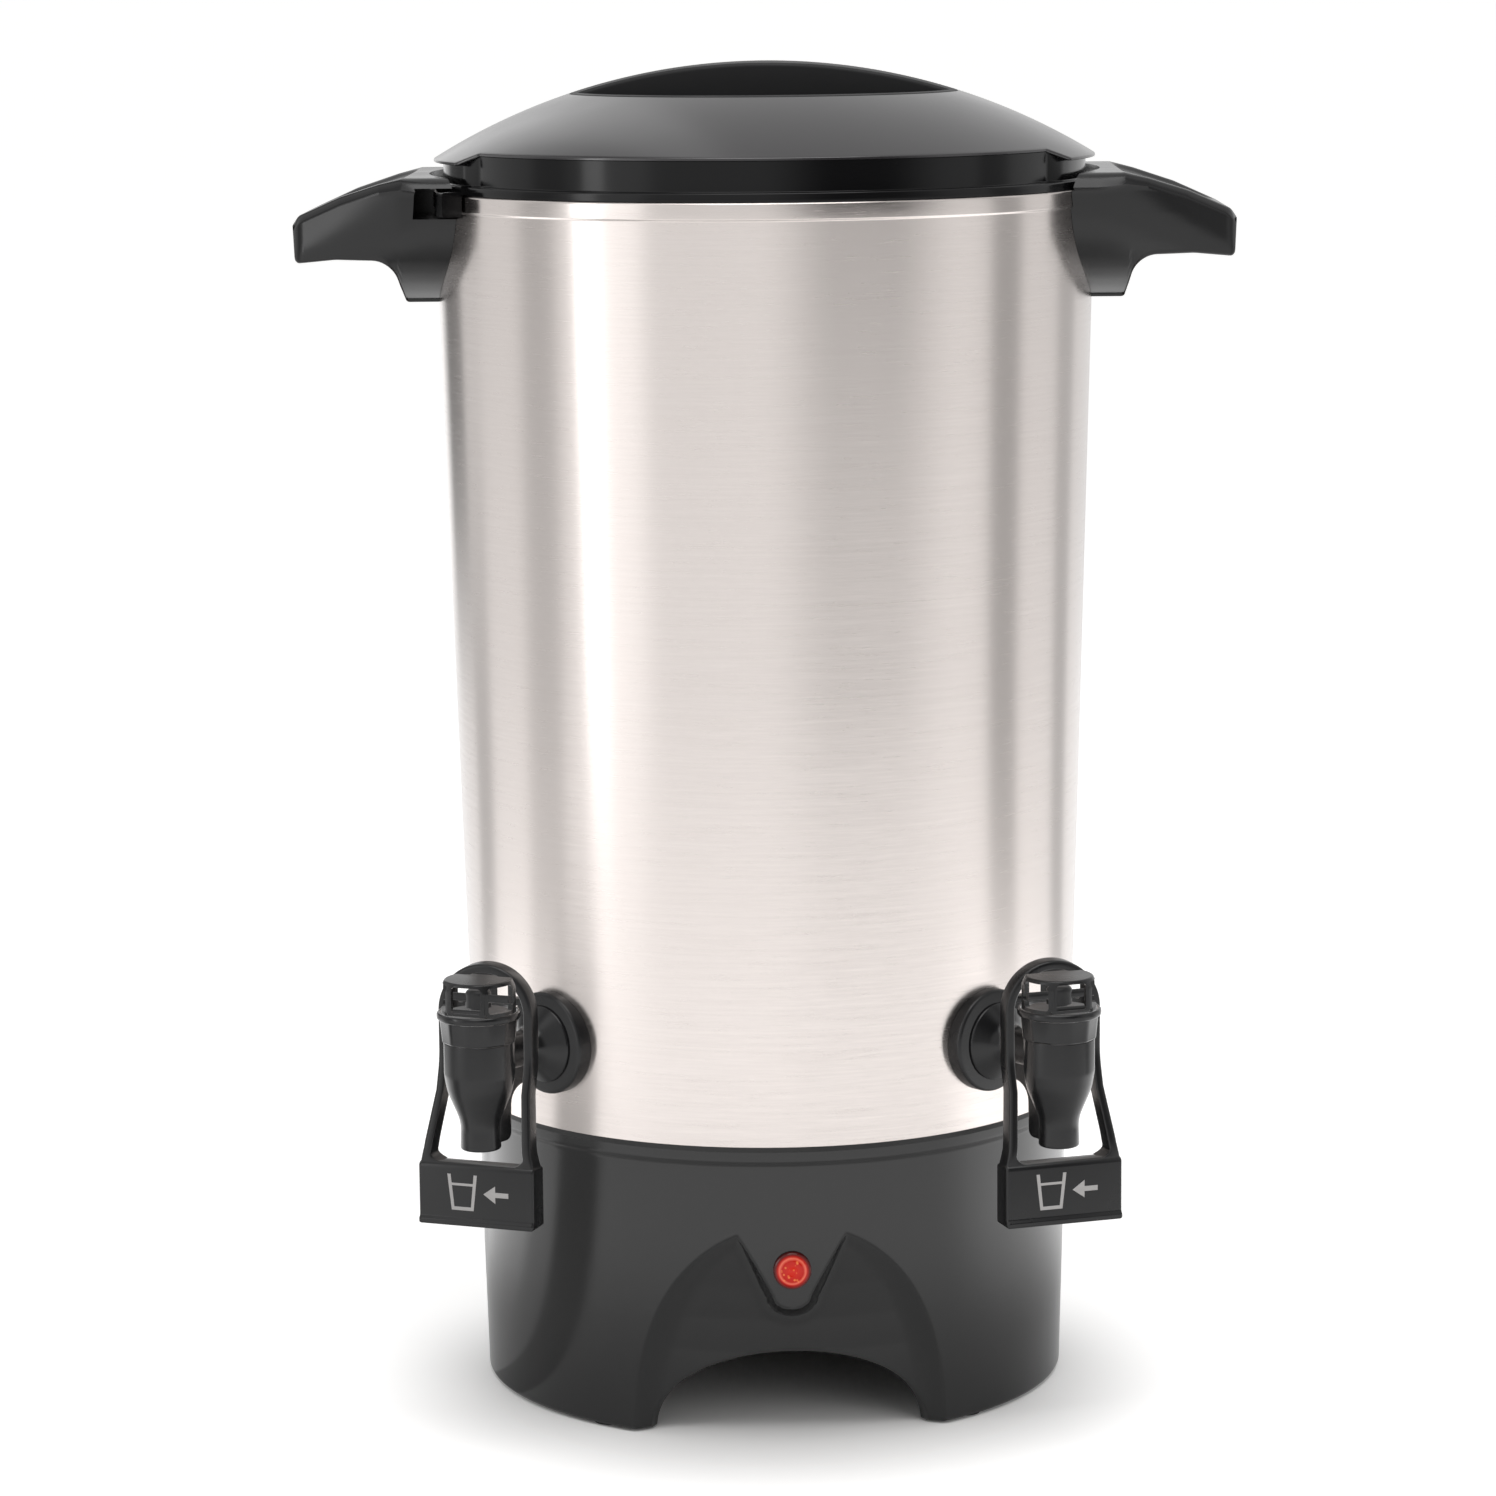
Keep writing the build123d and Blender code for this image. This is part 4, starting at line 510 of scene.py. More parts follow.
# Columns stand close across the recess, closest at its legs, and wide round the back.
front_half_angle = 36
column_angles = [round(-front_half_angle + 0.25 * i, 4) for i in range(289)]
column_angles += [round(side * (28.4 + 0.1 * i), 4) for i in range(14) for side in (-1, 1)]
column_angles += [round(front_half_angle + 1.5 * i, 4) for i in range(1, 192)]
skirt_rows = 150
foot_lip = 1.8
edge_round = 0.6
cove_blend = 8.0
liner_angle = 33.5
recess_angle = 36.5
inner_top_r = base_neck_r - base_wall
top_underside = base_height - 2.8
arch_hole_angle = degrees(asin(inner_half_width / recess_r))
skirt_loops = []
for column in sorted(set(column_angles)):
    rel = column if column <= 180 else column - 360
    foot_z = foot_gap
    if abs(rel) < arch_hole_angle:
        side = recess_r * sin(radians(rel))
        foot_z = foot_gap + max(0.0, inner_height * sqrt(1 - (side / inner_half_width) ** 2) - foot_gap)
    heights = foot_z + (base_height - foot_z) * np.linspace(0, 1, skirt_rows)
    outer = np.array([base_r(z) for z in heights])
    if abs(rel) < recess_angle:
        reach = signed_reach(np.full(skirt_rows, base_belly_r * radians(rel)), heights)
        wall_depth = -soft_least(-reach, np.zeros(skirt_rows), edge_round) / side_slope
        floor_depth = outer - np.array([cove_r(z) for z in heights])
        outer = outer - np.maximum(0, soft_least(wall_depth, np.maximum(floor_depth, 0), cove_blend))
    inner = []
    for z in (foot_z, 30, 60):
        inner.append((min(base_r(z), cove_r(z)) if abs(rel) < liner_angle else base_r(z)) - base_wall)
    inner[0] = min(inner[0], outer[0] - foot_lip)
    profile = [(outer[0] - 1.0, heights[0]), (outer[0] - 0.3, heights[0] + 0.25)]
    profile += [(outer[0], heights[0] + 0.8)] + list(zip(outer[2:], heights[2:]))
    profile += [(ledge_inner_r, base_height), (ledge_inner_r, top_underside)]
    profile += [(inner_top_r - 1, top_underside), (min(inner[2], inner_top_r - 0.5), 62)]
    profile += [(inner[1], max(30, foot_z + 1.5)), (inner[0], foot_z)]
    angle = radians(rel + base_clocking)
    skirt_loops.append([(r * sin(angle), -r * cos(angle), z) for r, z in profile])
skirt = skin("base_skirt_moulding", skirt_loops)

# Black phenolic, moulded in a polished tool: deep black under a clear gloss, with the slow
# waviness of a thick moulding and a very fine grain.
phenolic_colour = "#161616"
wave_mm = 22.0
wave_spread = 0.12


def moulding(name, colour, roughness, grain_mm=0.5, grain_depth=0.02, wave_depth=0.05, ior=1.42):
    """Moulded plastic with a fine grain and a slow waviness, both in mm."""
    material, tree = new_material(name)
    place = node(tree, "TexCoord").outputs["Object"]
    grain = noise(tree, place, grain_mm * mm, 2.0)
    wave = noise(tree, place, wave_mm * mm, 1.0)
    least, most = roughness * (1 - wave_spread), roughness * (1 + wave_spread)
    looks = {
        "Base Color": linear(colour),
        "Roughness": between(tree, wave, 0.3, 0.7, least, most),
        "Normal": bumped(tree, grain, 0.5, grain_depth, Normal=bumped(tree, wave, 0.5, wave_depth)),
        "IOR": ior,
    }
    covered(tree, looks)
    return material


phenolic = moulding("black_phenolic", phenolic_colour, 0.13, ior=1.5)
finished(skirt, phenolic, nodes=["base_skirt"], sharp=38)


# ---------------------------------------------------------------- lid dome
# Drawn steel sheet under a smoke-grey lacquer, with a round hole for the grip. At each handle
# its edge reaches further out as an ear.
lid_seat = 390.3
band_foot = 392.8
band_top = 402.2
dome_radius = 202.8
dome_centre = 227.255
dome_inner = 200.6
dome_edge_r = 101.2
dome_lip = 0.8
ear_r = 106.2
ear_half_angle = 27.0
ear_ramp = 4.0
grip_hole_r = 62.2
grip_step_top = 416.98
grip_step_foot = 415.18


def dome_z(radius, sphere=dome_radius):
    """Height of a sphere about the dome's centre at a radius."""
    return dome_centre + sqrt(sphere**2 - radius**2)


def ear_share(azimuth):
    """One at a handle's ear, nought away from it, with a straight ramp between."""
    off = abs(azimuth % 180 - 90)
    return min(1.0, max(0.0, (ear_half_angle + ear_ramp / 2 - off) / ear_ramp))


def around(azimuth, points):
    """(radius, height) points at an azimuth, counted from the front towards the right."""
    angle = radians(azimuth)
    return [(r * sin(angle), -r * cos(angle), z) for r, z in points]


hole = grip_hole_r + 0.3
hole_lip = hole + 3.4
hole_step = hole - 1.9
ear_sides = [24 + 0.5 * i for i in range(14)]
lid_azimuths = [2.0 * i for i in range(180)]
lid_azimuths += [(side + sign * off) % 360 for side in (90, 270) for sign in (-1, 1) for off in ear_sides]
lid_azimuths = sorted(set(lid_azimuths))
dome_loops = []
for azimuth in lid_azimuths:
    edge = dome_edge_r + (ear_r - dome_edge_r) * ear_share(azimuth)
    foot = dome_z(edge) - dome_lip
    profile = [(r, dome_z(r)) for r in np.linspace(hole + 0.2, edge - 0.3, 44)]
    profile += [(edge - 0.08, dome_z(edge)), (edge, dome_z(edge) - 0.15), (edge, foot + 0.12)]
    profile += [(edge - 0.12, foot), (100.9, foot)]
    profile += [(r, dome_z(r, dome_inner)) for r in np.linspace(98.16, hole_lip, 16)]
    profile += [(hole_lip, grip_step_foot), (hole_step, grip_step_foot), (hole_step, grip_step_top)]
    profile += [(hole, grip_step_top), (hole, dome_z(hole) - 0.25)]
    dome_loops.append(around(azimuth, profile))
dome = skin("lid_dome_shell", dome_loops)

dome_colour = "#232123"
dome_lacquer = moulding(
    "smoke_grey_lacquered_sheet", dome_colour, 0.19, grain_depth=0.004, wave_depth=0.02, ior=1.62
)
finished(dome, dome_lacquer, body="lid", nodes=["lid_dome"], sharp=40)

# ---------------------------------------------------------------- lid rim
# One glossy black moulding: a band under the dome, a flange that sits on the hem, a plug
# with a groove for the seal, and a lock lug beside each ear.
lid_band_r = 101.0
lid_flange_r = 105.8
ear_band_r = 103.2
lug_start = 26.3
lug_span = 2.4
rim_loops = []
for azimuth in lid_azimuths:
    share = ear_share(azimuth)
    band = lid_band_r + (ear_band_r - lid_band_r) * share
    under = dome_z(dome_edge_r + (ear_r - dome_edge_r) * share) - dome_lip - 0.02
    profile = rounded(
        [
            (99.2, lid_seat), (99.2, 377.3), (102.3, 377.3), (102.3, 382.3), (100.8, 382.3),
            (100.8, 386.3), (102.3, 386.3), (102.3, lid_seat), (103.4, lid_seat), (103.4, 389.9),
            (lid_flange_r, 389.9), (lid_flange_r, band_foot), (band, band_foot), (band, under),
            (100.7, under), (98.0, band_top - 0.1), (97.8, band_foot), (0, band_foot), (0, lid_seat),
        ],
        [0, 0.4, 0.8, 0, 0, 0, 0, 0, 0, 0, 0.3, 0.6, 0.3, 0.15, 0, 0, 0, 0, 0],
        steps=4,
    )
    rim_loops.append(around(azimuth, profile))
rim = skin("lid_rim_moulding", rim_loops)


def carved(piece, tools, operation="DIFFERENCE"):
    """Cut tools out of a piece, or weld them on with UNION, and take the tools away."""
    for tool in tools:
        step = piece.modifiers.new("cut", "BOOLEAN")
        step.solver = "MANIFOLD"
        step.operation = operation
        step.object = tool
    done = bpy.data.meshes.new_from_object(piece.evaluated_get(bpy.context.evaluated_depsgraph_get()))
    piece.modifiers.clear()
    piece.data = done
    for tool in tools:
        bpy.data.objects.remove(tool)
    return piece


lug_outline = rounded(
    [
        (103.8, 390.35), (107.2, 390.35), (107.2, 383.5), (114.0, 383.5),
        (114.0, 391.2), (107.4, 391.2), (107.4, 393.2), (103.8, 393.2),
    ],
    [0, 0, 0.1, 0.8, 0.8, 0, 0.5, 0],
)
lugs = []
for start in (90 + lug_start, 270 + lug_start):
    lug_loops = [around(start + lug_span * i / 4, lug_outline) for i in range(5)]
    lugs.append(skin("lug", lug_loops, ring=False, capped=True))
carved(rim, lugs, "UNION")
gloss_black = moulding("glossy_black_polymer", "#0c0c0d", 0.15, grain_depth=0.005, ior=1.33)
finished(rim, gloss_black, body="lid", nodes=["lid_rim"], sharp=40)

# ---------------------------------------------------------------- lid grip
# A black moulded pan in the dome's hole, with a bar across it to lift and turn the lid by.
# The bar's top follows the dome.
pan_floor = 405.28
pan_r = 60.4
grip_bar_half = 13.5
grip_bar_reach = 60.4
grip_bar_round = 1.4
pan_outline = rounded(
    [
        (0, pan_floor - 2), (pan_r, pan_floor - 2), (pan_r, grip_step_top), (grip_hole_r, grip_step_top),
        (grip_hole_r, dome_z(grip_hole_r)), (pan_r, dome_z(pan_r)), (58.0, pan_floor), (0, pan_floor),
    ],
    [0, 2.0, 0, 0, 0.3, 0.5, 1.5, 0],
)
grip = turned("lid_grip_moulding", pan_outline, turns=240)
bar_loops = []
for x in np.linspace(-grip_bar_reach, grip_bar_reach, 61):
    half_top = []
    for step in range(17):
        y = (grip_bar_half - grip_bar_round) * step / 16
        half_top.append((y, dome_centre + sqrt(dome_radius**2 - x**2 - y**2)))
    corner_z = half_top[-1][1]
    for step in range(1, 7):
        angle = radians(90 * step / 6)
        y = grip_bar_half - grip_bar_round * (1 - sin(angle))
        half_top.append((y, corner_z - grip_bar_round * (1 - cos(angle))))
    half_top += [(grip_bar_half, corner_z - 6), (grip_bar_half + 0.4, pan_floor - 0.8)]
    bar_loops.append([(x, -y, z) for y, z in half_top[::-1]] + [(x, y, z) for y, z in half_top[1:]])
carved(grip, [skin("bar", bar_loops, ring=False, capped=True)], "UNION")
satin_black = moulding("satin_black_polymer", "#1a1a1b", 0.5, grain_depth=0.03, ior=1.33)
finished(grip, satin_black, body="lid", nodes=["lid_grip"], sharp=38)


# ---------------------------------------------------------------- handles
# Thick black phenolic mouldings: a tapered grip with bevelled top edges round a shallow
# dish, and a leg that narrows like a shield down to its foot. The lid's lug turns into a slot.
handle_half_width = 47.0
handle_side = [
    (95, 354.4), (115.03, 354.4), (117.43, 369.0), (136, 369.3), (149.4, 367.8), (150, 380.3),
    (148.0, 383.0), (134, 389.2), (121, 393.4), (113.5, 395.3), (95, 395.3),
]
handle_plan = [(80, handle_half_width), (110.7, handle_half_width), (150.5, 26.5), (150.5, 0)]
handle_bevel_drop = 2.6
handle_bevel_inset = 3.2
handle_dish_depth = 1.7
handle_tip = 149.96
handle_blend = 14.0
lid_room_r = 107.7
side_line = rounded(handle_side, [0, 1.0, 8, 20, 1.6, 1.4, 4, 14, 12, 3, 0], steps=10)
turn_at = max(range(len(side_line)), key=lambda i: side_line[i][0])
low_line = np.array(side_line[: turn_at + 1])
high_line = np.array(side_line[turn_at:][::-1])
plan_line = np.array(rounded(handle_plan, [0, 25, 8, 0], steps=12))
shield_y = np.array([0, 9.5, 14, 20, 26, 31.0, 36, 41, 45, 48, 60])
shield_z = 354.4 + np.array([-4.0, 0, 1.55, 4.05, 7.2, 10.4, 14.3, 19.2, 23.8, 27.8, 48.0])


def shield_half(height):
    """Half-width of the handle at a height, as the shield shape of its leg allows it."""
    return float(np.interp(height, shield_z, shield_y))


def smooth_step(value, low, high):
    """Nought up to low, one from high, and smooth between."""
    share = min(1.0, max(0.0, (value - low) / (high - low)))
    return share * share * (3 - 2 * share)


handle_stations = [95 + 1.5 * i for i in range(36)] + [handle_tip]
for line in (low_line, high_line, plan_line):
    handle_stations += [round(float(x), 3) for x in line[:, 0] if 95 <= x <= handle_tip]
handle_stations = sorted(set(handle_stations))
handle_stations = [x for i, x in enumerate(handle_stations) if i == 0 or x - handle_stations[i - 1] > 0.02]
inset_steps = [0, 0.35, 0.8, 1.3, 1.9, 2.5, 3.2, 3.7, 4.3, 5.0, 5.8, 6.8, 8.0]
handle_loops = []
for x in handle_stations:
    width, top_z, low_z = (float(np.interp(x, *line.T)) for line in (plan_line, high_line, low_line))
    tall = max(top_z - low_z, 0.02)
    flare = 1 - smooth_step(x, 103.0, 124.0)
    inset_scale = 1 + 0.9 * flare
    drop = min(handle_bevel_drop * (1 + 0.7 * flare), tall * 0.35)
    corner = min(1.0, tall * 0.2)
    dish = handle_dish_depth * smooth_step(x, 112.5, 116.5) * (1 - smooth_step(x, 141.5, 147.5))
    half_line = []
    for inset in inset_steps:
        bevel = drop * max(0.0, 1 - inset / handle_bevel_inset) ** 2
        half_line.append((width - inset * inset_scale, top_z - bevel - dish * smooth_step(inset, 4.0, 8.0)))
    half_line += [((width - 8.0 * inset_scale) * (1 - i / 6), top_z - dish) for i in range(1, 6)]
    half_line = half_line[::-1]
    for i in range(1, 29):
        z = top_z - drop + (low_z + corner - top_z + drop) * i / 28
        half_line.append((float(soft_least(np.array(width), np.array(shield_half(z)), handle_blend)), z))
    foot_half = half_line[-1][0]
    for i in range(1, 5):
        angle = radians(22.5 * i)
        half_line.append((foot_half - corner * (1 - cos(angle)), low_z + corner * (1 - sin(angle))))
    half_line += [((foot_half - corner) * (1 - i / 6), low_z) for i in range(1, 6)]
    loop = [(x, 0.0, top_z - dish)] + [(x, y, z) for y, z in half_line] + [(x, 0.0, low_z)]
    handle_loops.append(loop + [(x, -y, z) for y, z in half_line[::-1]])
right_handle = skin("right_handle_moulding", handle_loops, ring=False, capped=True)
room_outline = [
    (60, 330), (wall_r(330) + 0.05, 330), (wall_r(rim_foot) + 0.05, rim_foot),
    (rim_r + 0.1, rim_foot + 0.6), (rim_r + 0.1, vessel_top), (lid_room_r, vessel_top),
    (lid_room_r, 410), (60, 410),
]
vessel_room = turned("vessel_room", room_outline, turns=360)
slot_outline = [(100, 382.5), (118.5, 382.5), (118.5, 392.2), (100, 392.2)]
slot_loops = [around(91 + 2 * i, slot_outline) for i in range(21)]
slot_room = skin("slot_room", slot_loops, ring=False, capped=True)
carved(right_handle, [vessel_room, slot_room])
left_handle = placed("left_handle_moulding", right_handle.data.copy())
left_handle.data.transform(Matrix.Rotation(pi, 4, "Z"))
handle_black = moulding("black_phenolic_handle", "#0c0c0d", 0.22, grain_depth=0.012)
for handle, node_name in ((right_handle, "right_handle"), (left_handle, "left_handle")):
    finished(handle, handle_black, nodes=[node_name], sharp=42)


# ---------------------------------------------------------------- tap bodies and wall washers
# Black moulded taps: a waisted barrel that ends in a nozzle with a web behind it, a shank
# that opens into a bell, and a thick washer against the steel.
tap_azimuth = -43.8
tap_axis_r = 130.6
shank_height = 124.6
bell_face = wall_r(shank_height) + 3.8
washer_r = 16.3


def outward(azimuth):
    """Unit vector away from the middle axis at an azimuth in degrees."""
    return Vector((sin(radians(azimuth)), -cos(radians(azimuth)), 0))


def standing(azimuth, centre):
    """Places a piece made with X outward and Z up: turned to an azimuth, its origin at a centre in mm."""
    out = outward(azimuth)
    side = Vector((0, 0, 1)).cross(out)
    place = Matrix((out, side, Vector((0, 0, 1)))).transposed().to_4x4()
    place.translation = centre * mm
    return place


def prism(name, outline, low, high, edge=0.4, order=(0, 2, 1)):
    """An outline pushed from low to high with rounded end edges. Order says which of its first axis, its
    second axis and the push goes to X, to Y and to Z."""
    ring = [Vector(p) for p in outline]
    area = sum(a.x * b.y - b.x * a.y for a, b in zip(ring, ring[1:] + ring[:1]))
    inward = []
    for i, corner in enumerate(ring):
        ahead_edge = (ring[(i + 1) % len(ring)] - corner).normalized()
        behind_edge = (corner - ring[i - 1]).normalized()
        across = Vector((-(ahead_edge + behind_edge).y, (ahead_edge + behind_edge).x)).normalized()
        spread = max(0.4, across.dot(Vector((-ahead_edge.y, ahead_edge.x))))
        inward.append(across * (1 if area > 0 else -1) / spread)
    loops = []
    rounds = [(edge * (1 - sin(radians(a))), edge * (1 - cos(radians(a)))) for a in (0, 30, 60, 90)]
    for inset, depth in [(i, low + d) for i, d in rounds] + [(i, high - d) for i, d in rounds[::-1]]:
        loop = []
        for corner, way in zip(ring, inward):
            values = (*(corner + way * inset), depth)
            loop.append(tuple(values[k] for k in order))
        loops.append(loop)
    return skin(name, loops, ring=False, capped=True)


def both_taps(piece, material, part, body=None, sharp=34, mirrored_too=False):
    """Finish a left-hand piece and its twin on the right. Each stands for its side's part. The steel
    is too dull to mirror the taps, so they are left out of its mirror images."""
    other = placed(piece.name.replace("left", "right"), piece.data.copy())
    other.data.transform(Matrix.Scale(-1, 4, (1, 0, 0)))
    other.data.flip_normals()
    for side, made in (("left", piece), ("right", other)):
        rides_on = f"{side}_{body}" if body else "urn"
        finished(made, material, rides_on, nodes=[f"{side}_{part}"], sharp=sharp)
        made.visible_glossy = mirrored_too


tap_centre = outward(tap_azimuth) * tap_axis_r
tap_place = standing(tap_azimuth, tap_centre)
shank_place = tap_place @ Matrix.Translation((0, 0, shank_height * mm)) @ Matrix.Rotation(pi / 2, 4, "Y")
barrel_outline = rounded(
    [
        (4.2, 95.6), (6.4, 95.6), (6.1, 104.4), (10.2, 114.2), (11.1, 119.5), (11.1, 130.1),
        (10.0, 130.1), (10.0, 136.6), (7.6, 136.6), (7.6, 112.0), (4.2, 112.0),
    ],
    [0.4, 0.8, 14, 18, 10, 0.3, 0, 0, 0, 0, 0],
    steps=8,
)
shank_outline = rounded(
    [
        (0, -3), (5.6, -3), (5.6, -20.9), (12.3, -26.1),
        (12.3, bell_face - tap_axis_r), (6.2, bell_face - tap_axis_r), (6.2, -41.0), (0, -41.0),
    ],
    [0, 0, 6.0, 0.9, 0.3, 0, 0.6, 0],
    steps=8,
)
web_outline = rounded(
    [(-4, 96.4), (-11.2, 96.8), (-11.6, 113.1), (-22.5, 115.1), (-22.5, 121.0), (-4, 121.0)],
    [0, 2.5, 6, 0, 0, 0],
    steps=6,
)
left_tap = turned("left_tap_moulding", barrel_outline, turns=120, place=tap_place)
shank = turned("shank", shank_outline, turns=96, place=shank_place)
web = prism("web", web_outline, -2.5, 2.5, edge=1.0)
web.data.transform(tap_place)
chamber = turned("chamber", [(0, 112.0), (7.6, 112.0), (7.6, 140), (0, 140)], turns=96, place=tap_place)
carved(left_tap, [shank, web], "UNION")
carved(left_tap, [chamber])
tap_black = moulding("glossy_black_tap_polymer", "#151516", 0.22, grain_depth=0.006)
both_taps(left_tap, tap_black, "tap_body")

washer_corners = [(6.3, -27.47), (washer_r, -27.47), (washer_r, -36.0), (6.3, -36.0)]
washer_outline = rounded(washer_corners, [0, 1.1, 0, 0])
left_washer = turned("left_washer_moulding", washer_outline, turns=120, place=shank_place)
wall_outline = [(60, 90), (wall_r(90) + 0.05, 90), (wall_r(170) + 0.05, 170), (60, 170)]
carved(left_washer, [turned("wall_room", wall_outline, turns=360)])
washer_black = moulding("black_moulded_rubber", "#151516", 0.30, grain_depth=0.01)
both_taps(left_washer, washer_black, "wall_washer", sharp=40, mirrored_too=True)

# ---------------------------------------------------------------- bonnets
# A twelve-sided screw cap on each tap, wider towards its top, with a round lip that
# overhangs the flats and a recess for the rocker plate.
bonnet_foot = 130.2
bonnet_top = 139.8
bonnet_points = 144


def flat_sided(radius, height, roundness=0.0):
    """A twelve-sided ring of points at a corner radius, blended towards a circle."""
    ring = []
    for step in range(bonnet_points):
        angle = 2 * pi * step / bonnet_points
        off = (angle % (pi / 6)) - pi / 12
        flat = min(radius * cos(pi / 12) / cos(off), radius * 0.992)
        reach = flat + (radius - flat) * roundness
        ring.append((reach * cos(angle), reach * sin(angle), height))
    return ring


# Each ring is a corner radius, a height, and how round it is.
bonnet_rings = [
    (2.68, bonnet_foot + 7.2, 1), (10.05, bonnet_foot + 7.2, 1), (10.05, bonnet_foot, 1),
    (11.4, bonnet_foot, 0), (11.75, bonnet_foot + 0.35, 0), (12.4, 136.9, 0), (12.5, 137.3, 0.3),
    (12.75, 137.45, 1), (13.0, 137.75, 1), (13.1, 138.2, 1), (13.1, 138.9, 1), (12.98, 139.4, 1),
    (12.7, 139.7, 1), (12.4, bonnet_top, 1), (12.1, 139.72, 1), (12.0, 139.4, 1), (12.0, 138.2, 1),
    (2.68, 138.2, 1),
]
left_bonnet = skin("left_bonnet_cap", [flat_sided(*ring) for ring in bonnet_rings])
left_bonnet.data.transform(tap_place)
both_taps(left_bonnet, tap_black, "bonnet", sharp=24)

# ---------------------------------------------------------------- press levers
# One black moulding each: a hood with five windows rocks on the bonnet, a strap arches
# over it, two arms spread down past the nozzle, and a hollow paddle is pressed with the cup.
lever_azimuth = tap_azimuth + 25.0
lever_place = standing(lever_azimuth, tap_centre)
lever_foot = 139.38
hood_r = 11.7
hood_inner_r = 9.8
hood_top = 149.98
strap_centre = 137.68
strap_outer = 15.8
strap_inner = 13.1
paddle_top = 91.6
paddle_foot = 71.5
paddle_half = 19.4


def disc(x, y, radius):
    """A round outline about a point."""
    angles = [2 * pi * i / 24 for i in range(24)]
    return [(x + radius * cos(angle), y + radius * sin(angle)) for angle in angles]


hood_outline = rounded(
    [
        (hood_inner_r, lever_foot), (hood_r, lever_foot), (hood_r, 147.4), (10.5, hood_top),
        (0, hood_top), (0, 148.9), (hood_inner_r, 148.9),
    ],
    [0.2, 0.3, 2.0, 0.9, 0, 0, 0.8],
    steps=6,
)
hood = turned("hood", hood_outline, turns=120)
cutters = [
    prism("front_cut", [(10.2, 130), (20, 130), (20, 160), (10.2, 160)], -20, 20),
    prism("bead_cut", [(8.8, 130), (20, 130), (20, 140.58), (8.8, 140.58)], -20, 20),
]
window_outline = rounded([(-4.9, 140.7), (4.9, 140.7), (4.9, 148.8), (-4.9, 148.8)], 0.9, steps=4)
for turn in (-63, 0, 63, -147, 147):
    window = prism("window", window_outline, 5.5, 15.5, order=(2, 0, 1))
    window.data.transform(Matrix.Rotation(radians(turn), 4, "Z"))
    cutters.append(window)
carved(hood, cutters)
bead = prism("bead", disc(8.8, 140.58, 1.2), -6.4, 6.4, edge=0.3)

strap_stations = []
for z in list(np.linspace(89.6, 95.5, 9)) + list(np.linspace(96.5, strap_centre, 36)):
    outer_u = float(np.interp(z, [89.6, 95.5, 113.0], [paddle_half, 18.1, strap_outer]))
    inner_u = float(np.interp(z, [89.6, 95.5, 113.0], [16.3, 15.2, strap_inner]))
    inner_u -= 2.4 * max(0.0, 1 - (z - paddle_top) / 2.4) ** 2 if z > paddle_top - 1 else 2.4
    strap_stations.append(((outer_u, z), (inner_u, z)))
for step in range(1, 24):
    angle = pi / 2 * step / 24
    ends = [(r * cos(angle), strap_centre + r * sin(angle)) for r in (strap_outer, strap_inner)]
    strap_stations.append(ends)
strap_stations += [((0.0, strap_centre + strap_outer), (0.0, strap_centre + strap_inner))]
strap_stations += [((-a[0], a[1]), (-b[0], b[1])) for a, b in strap_stations[-2::-1]]
strap_loops = []
for outer_point, inner_point in strap_stations:
    level = [inner_point[1] + d for d in (-3, -1.5, 0, 1.5, 3)]
    back_n = sum(np.interp(level, [89, 95.5, 122], [-3.2, -2.3, -10.8])) / 5
    front_n = sum(np.interp(level, [89, 95.5, 122], [4.2, 4.3, -4.2])) / 5
    inner_end = Vector(inner_point)
    span = Vector(outer_point) - inner_end
    thick = span.length
    section = [(0, back_n), (thick, back_n), (thick, front_n), (0, front_n)]
    loop = []
    for across, n in rounded(section, [0.6, 0.9, 1.1, 0.6], steps=4):
        spot = inner_end + span * (across / thick)
        loop.append((n, spot.x, spot.y))
    strap_loops.append(loop)
strap = skin("strap", strap_loops, ring=False, capped=True)
gusset_outline = rounded([(-10.6, -15.0), (-6.2, -15.0), (-6.2, 15.0), (-10.6, 15.0)], 0.5)
gusset = prism("gusset", gusset_outline, 140.5, 142.7, edge=0.5, order=(0, 1, 2))
bridge_outline = rounded([(-9.5, 148.58), (-5.7, 148.58), (-5.7, 152.28), (-9.5, 152.28)], 0.5)
bridge = prism("bridge", bridge_outline, -5, 5, edge=0.5)
paddle_outline = rounded(
    [
        (-4, paddle_foot), (5.8, paddle_foot), (5.8, 73.1),
        (5.0, 74.1), (5.0, paddle_top), (-4, paddle_top - 1.0),
    ],
    [0.8, 0.6, 0.5, 0.6, 1.8, 1.0],
    steps=6,
)
left_lever = prism("left_lever_moulding", paddle_outline, -paddle_half, paddle_half, edge=0.9)
pocket = prism("pocket", [(-10, 73.5), (3.0, 73.5), (3.0, 88.6), (-10, 88.6)], -17.4, 17.4, edge=0.3)
carved(left_lever, [pocket])
carved(left_lever, [strap], "UNION")
carved(left_lever, [gusset], "UNION")
stem_room = turned("stem_room", [(0, 136), (5.6, 136), (5.6, 147.98), (0, 147.98)], turns=64)
carved(hood, [bead, bridge], "UNION")
carved(left_lever, [hood], "UNION")
pin_hole = prism("pin_hole", disc(0, 143.78, 1.29), -13, 13)
carved(left_lever, [stem_room, pin_hole])
left_lever.data.transform(lever_place)
lever_black = moulding("satin_black_lever_polymer", "#151516", 0.30, grain_depth=0.015)
both_taps(left_lever, lever_black, "lever", body="lever")

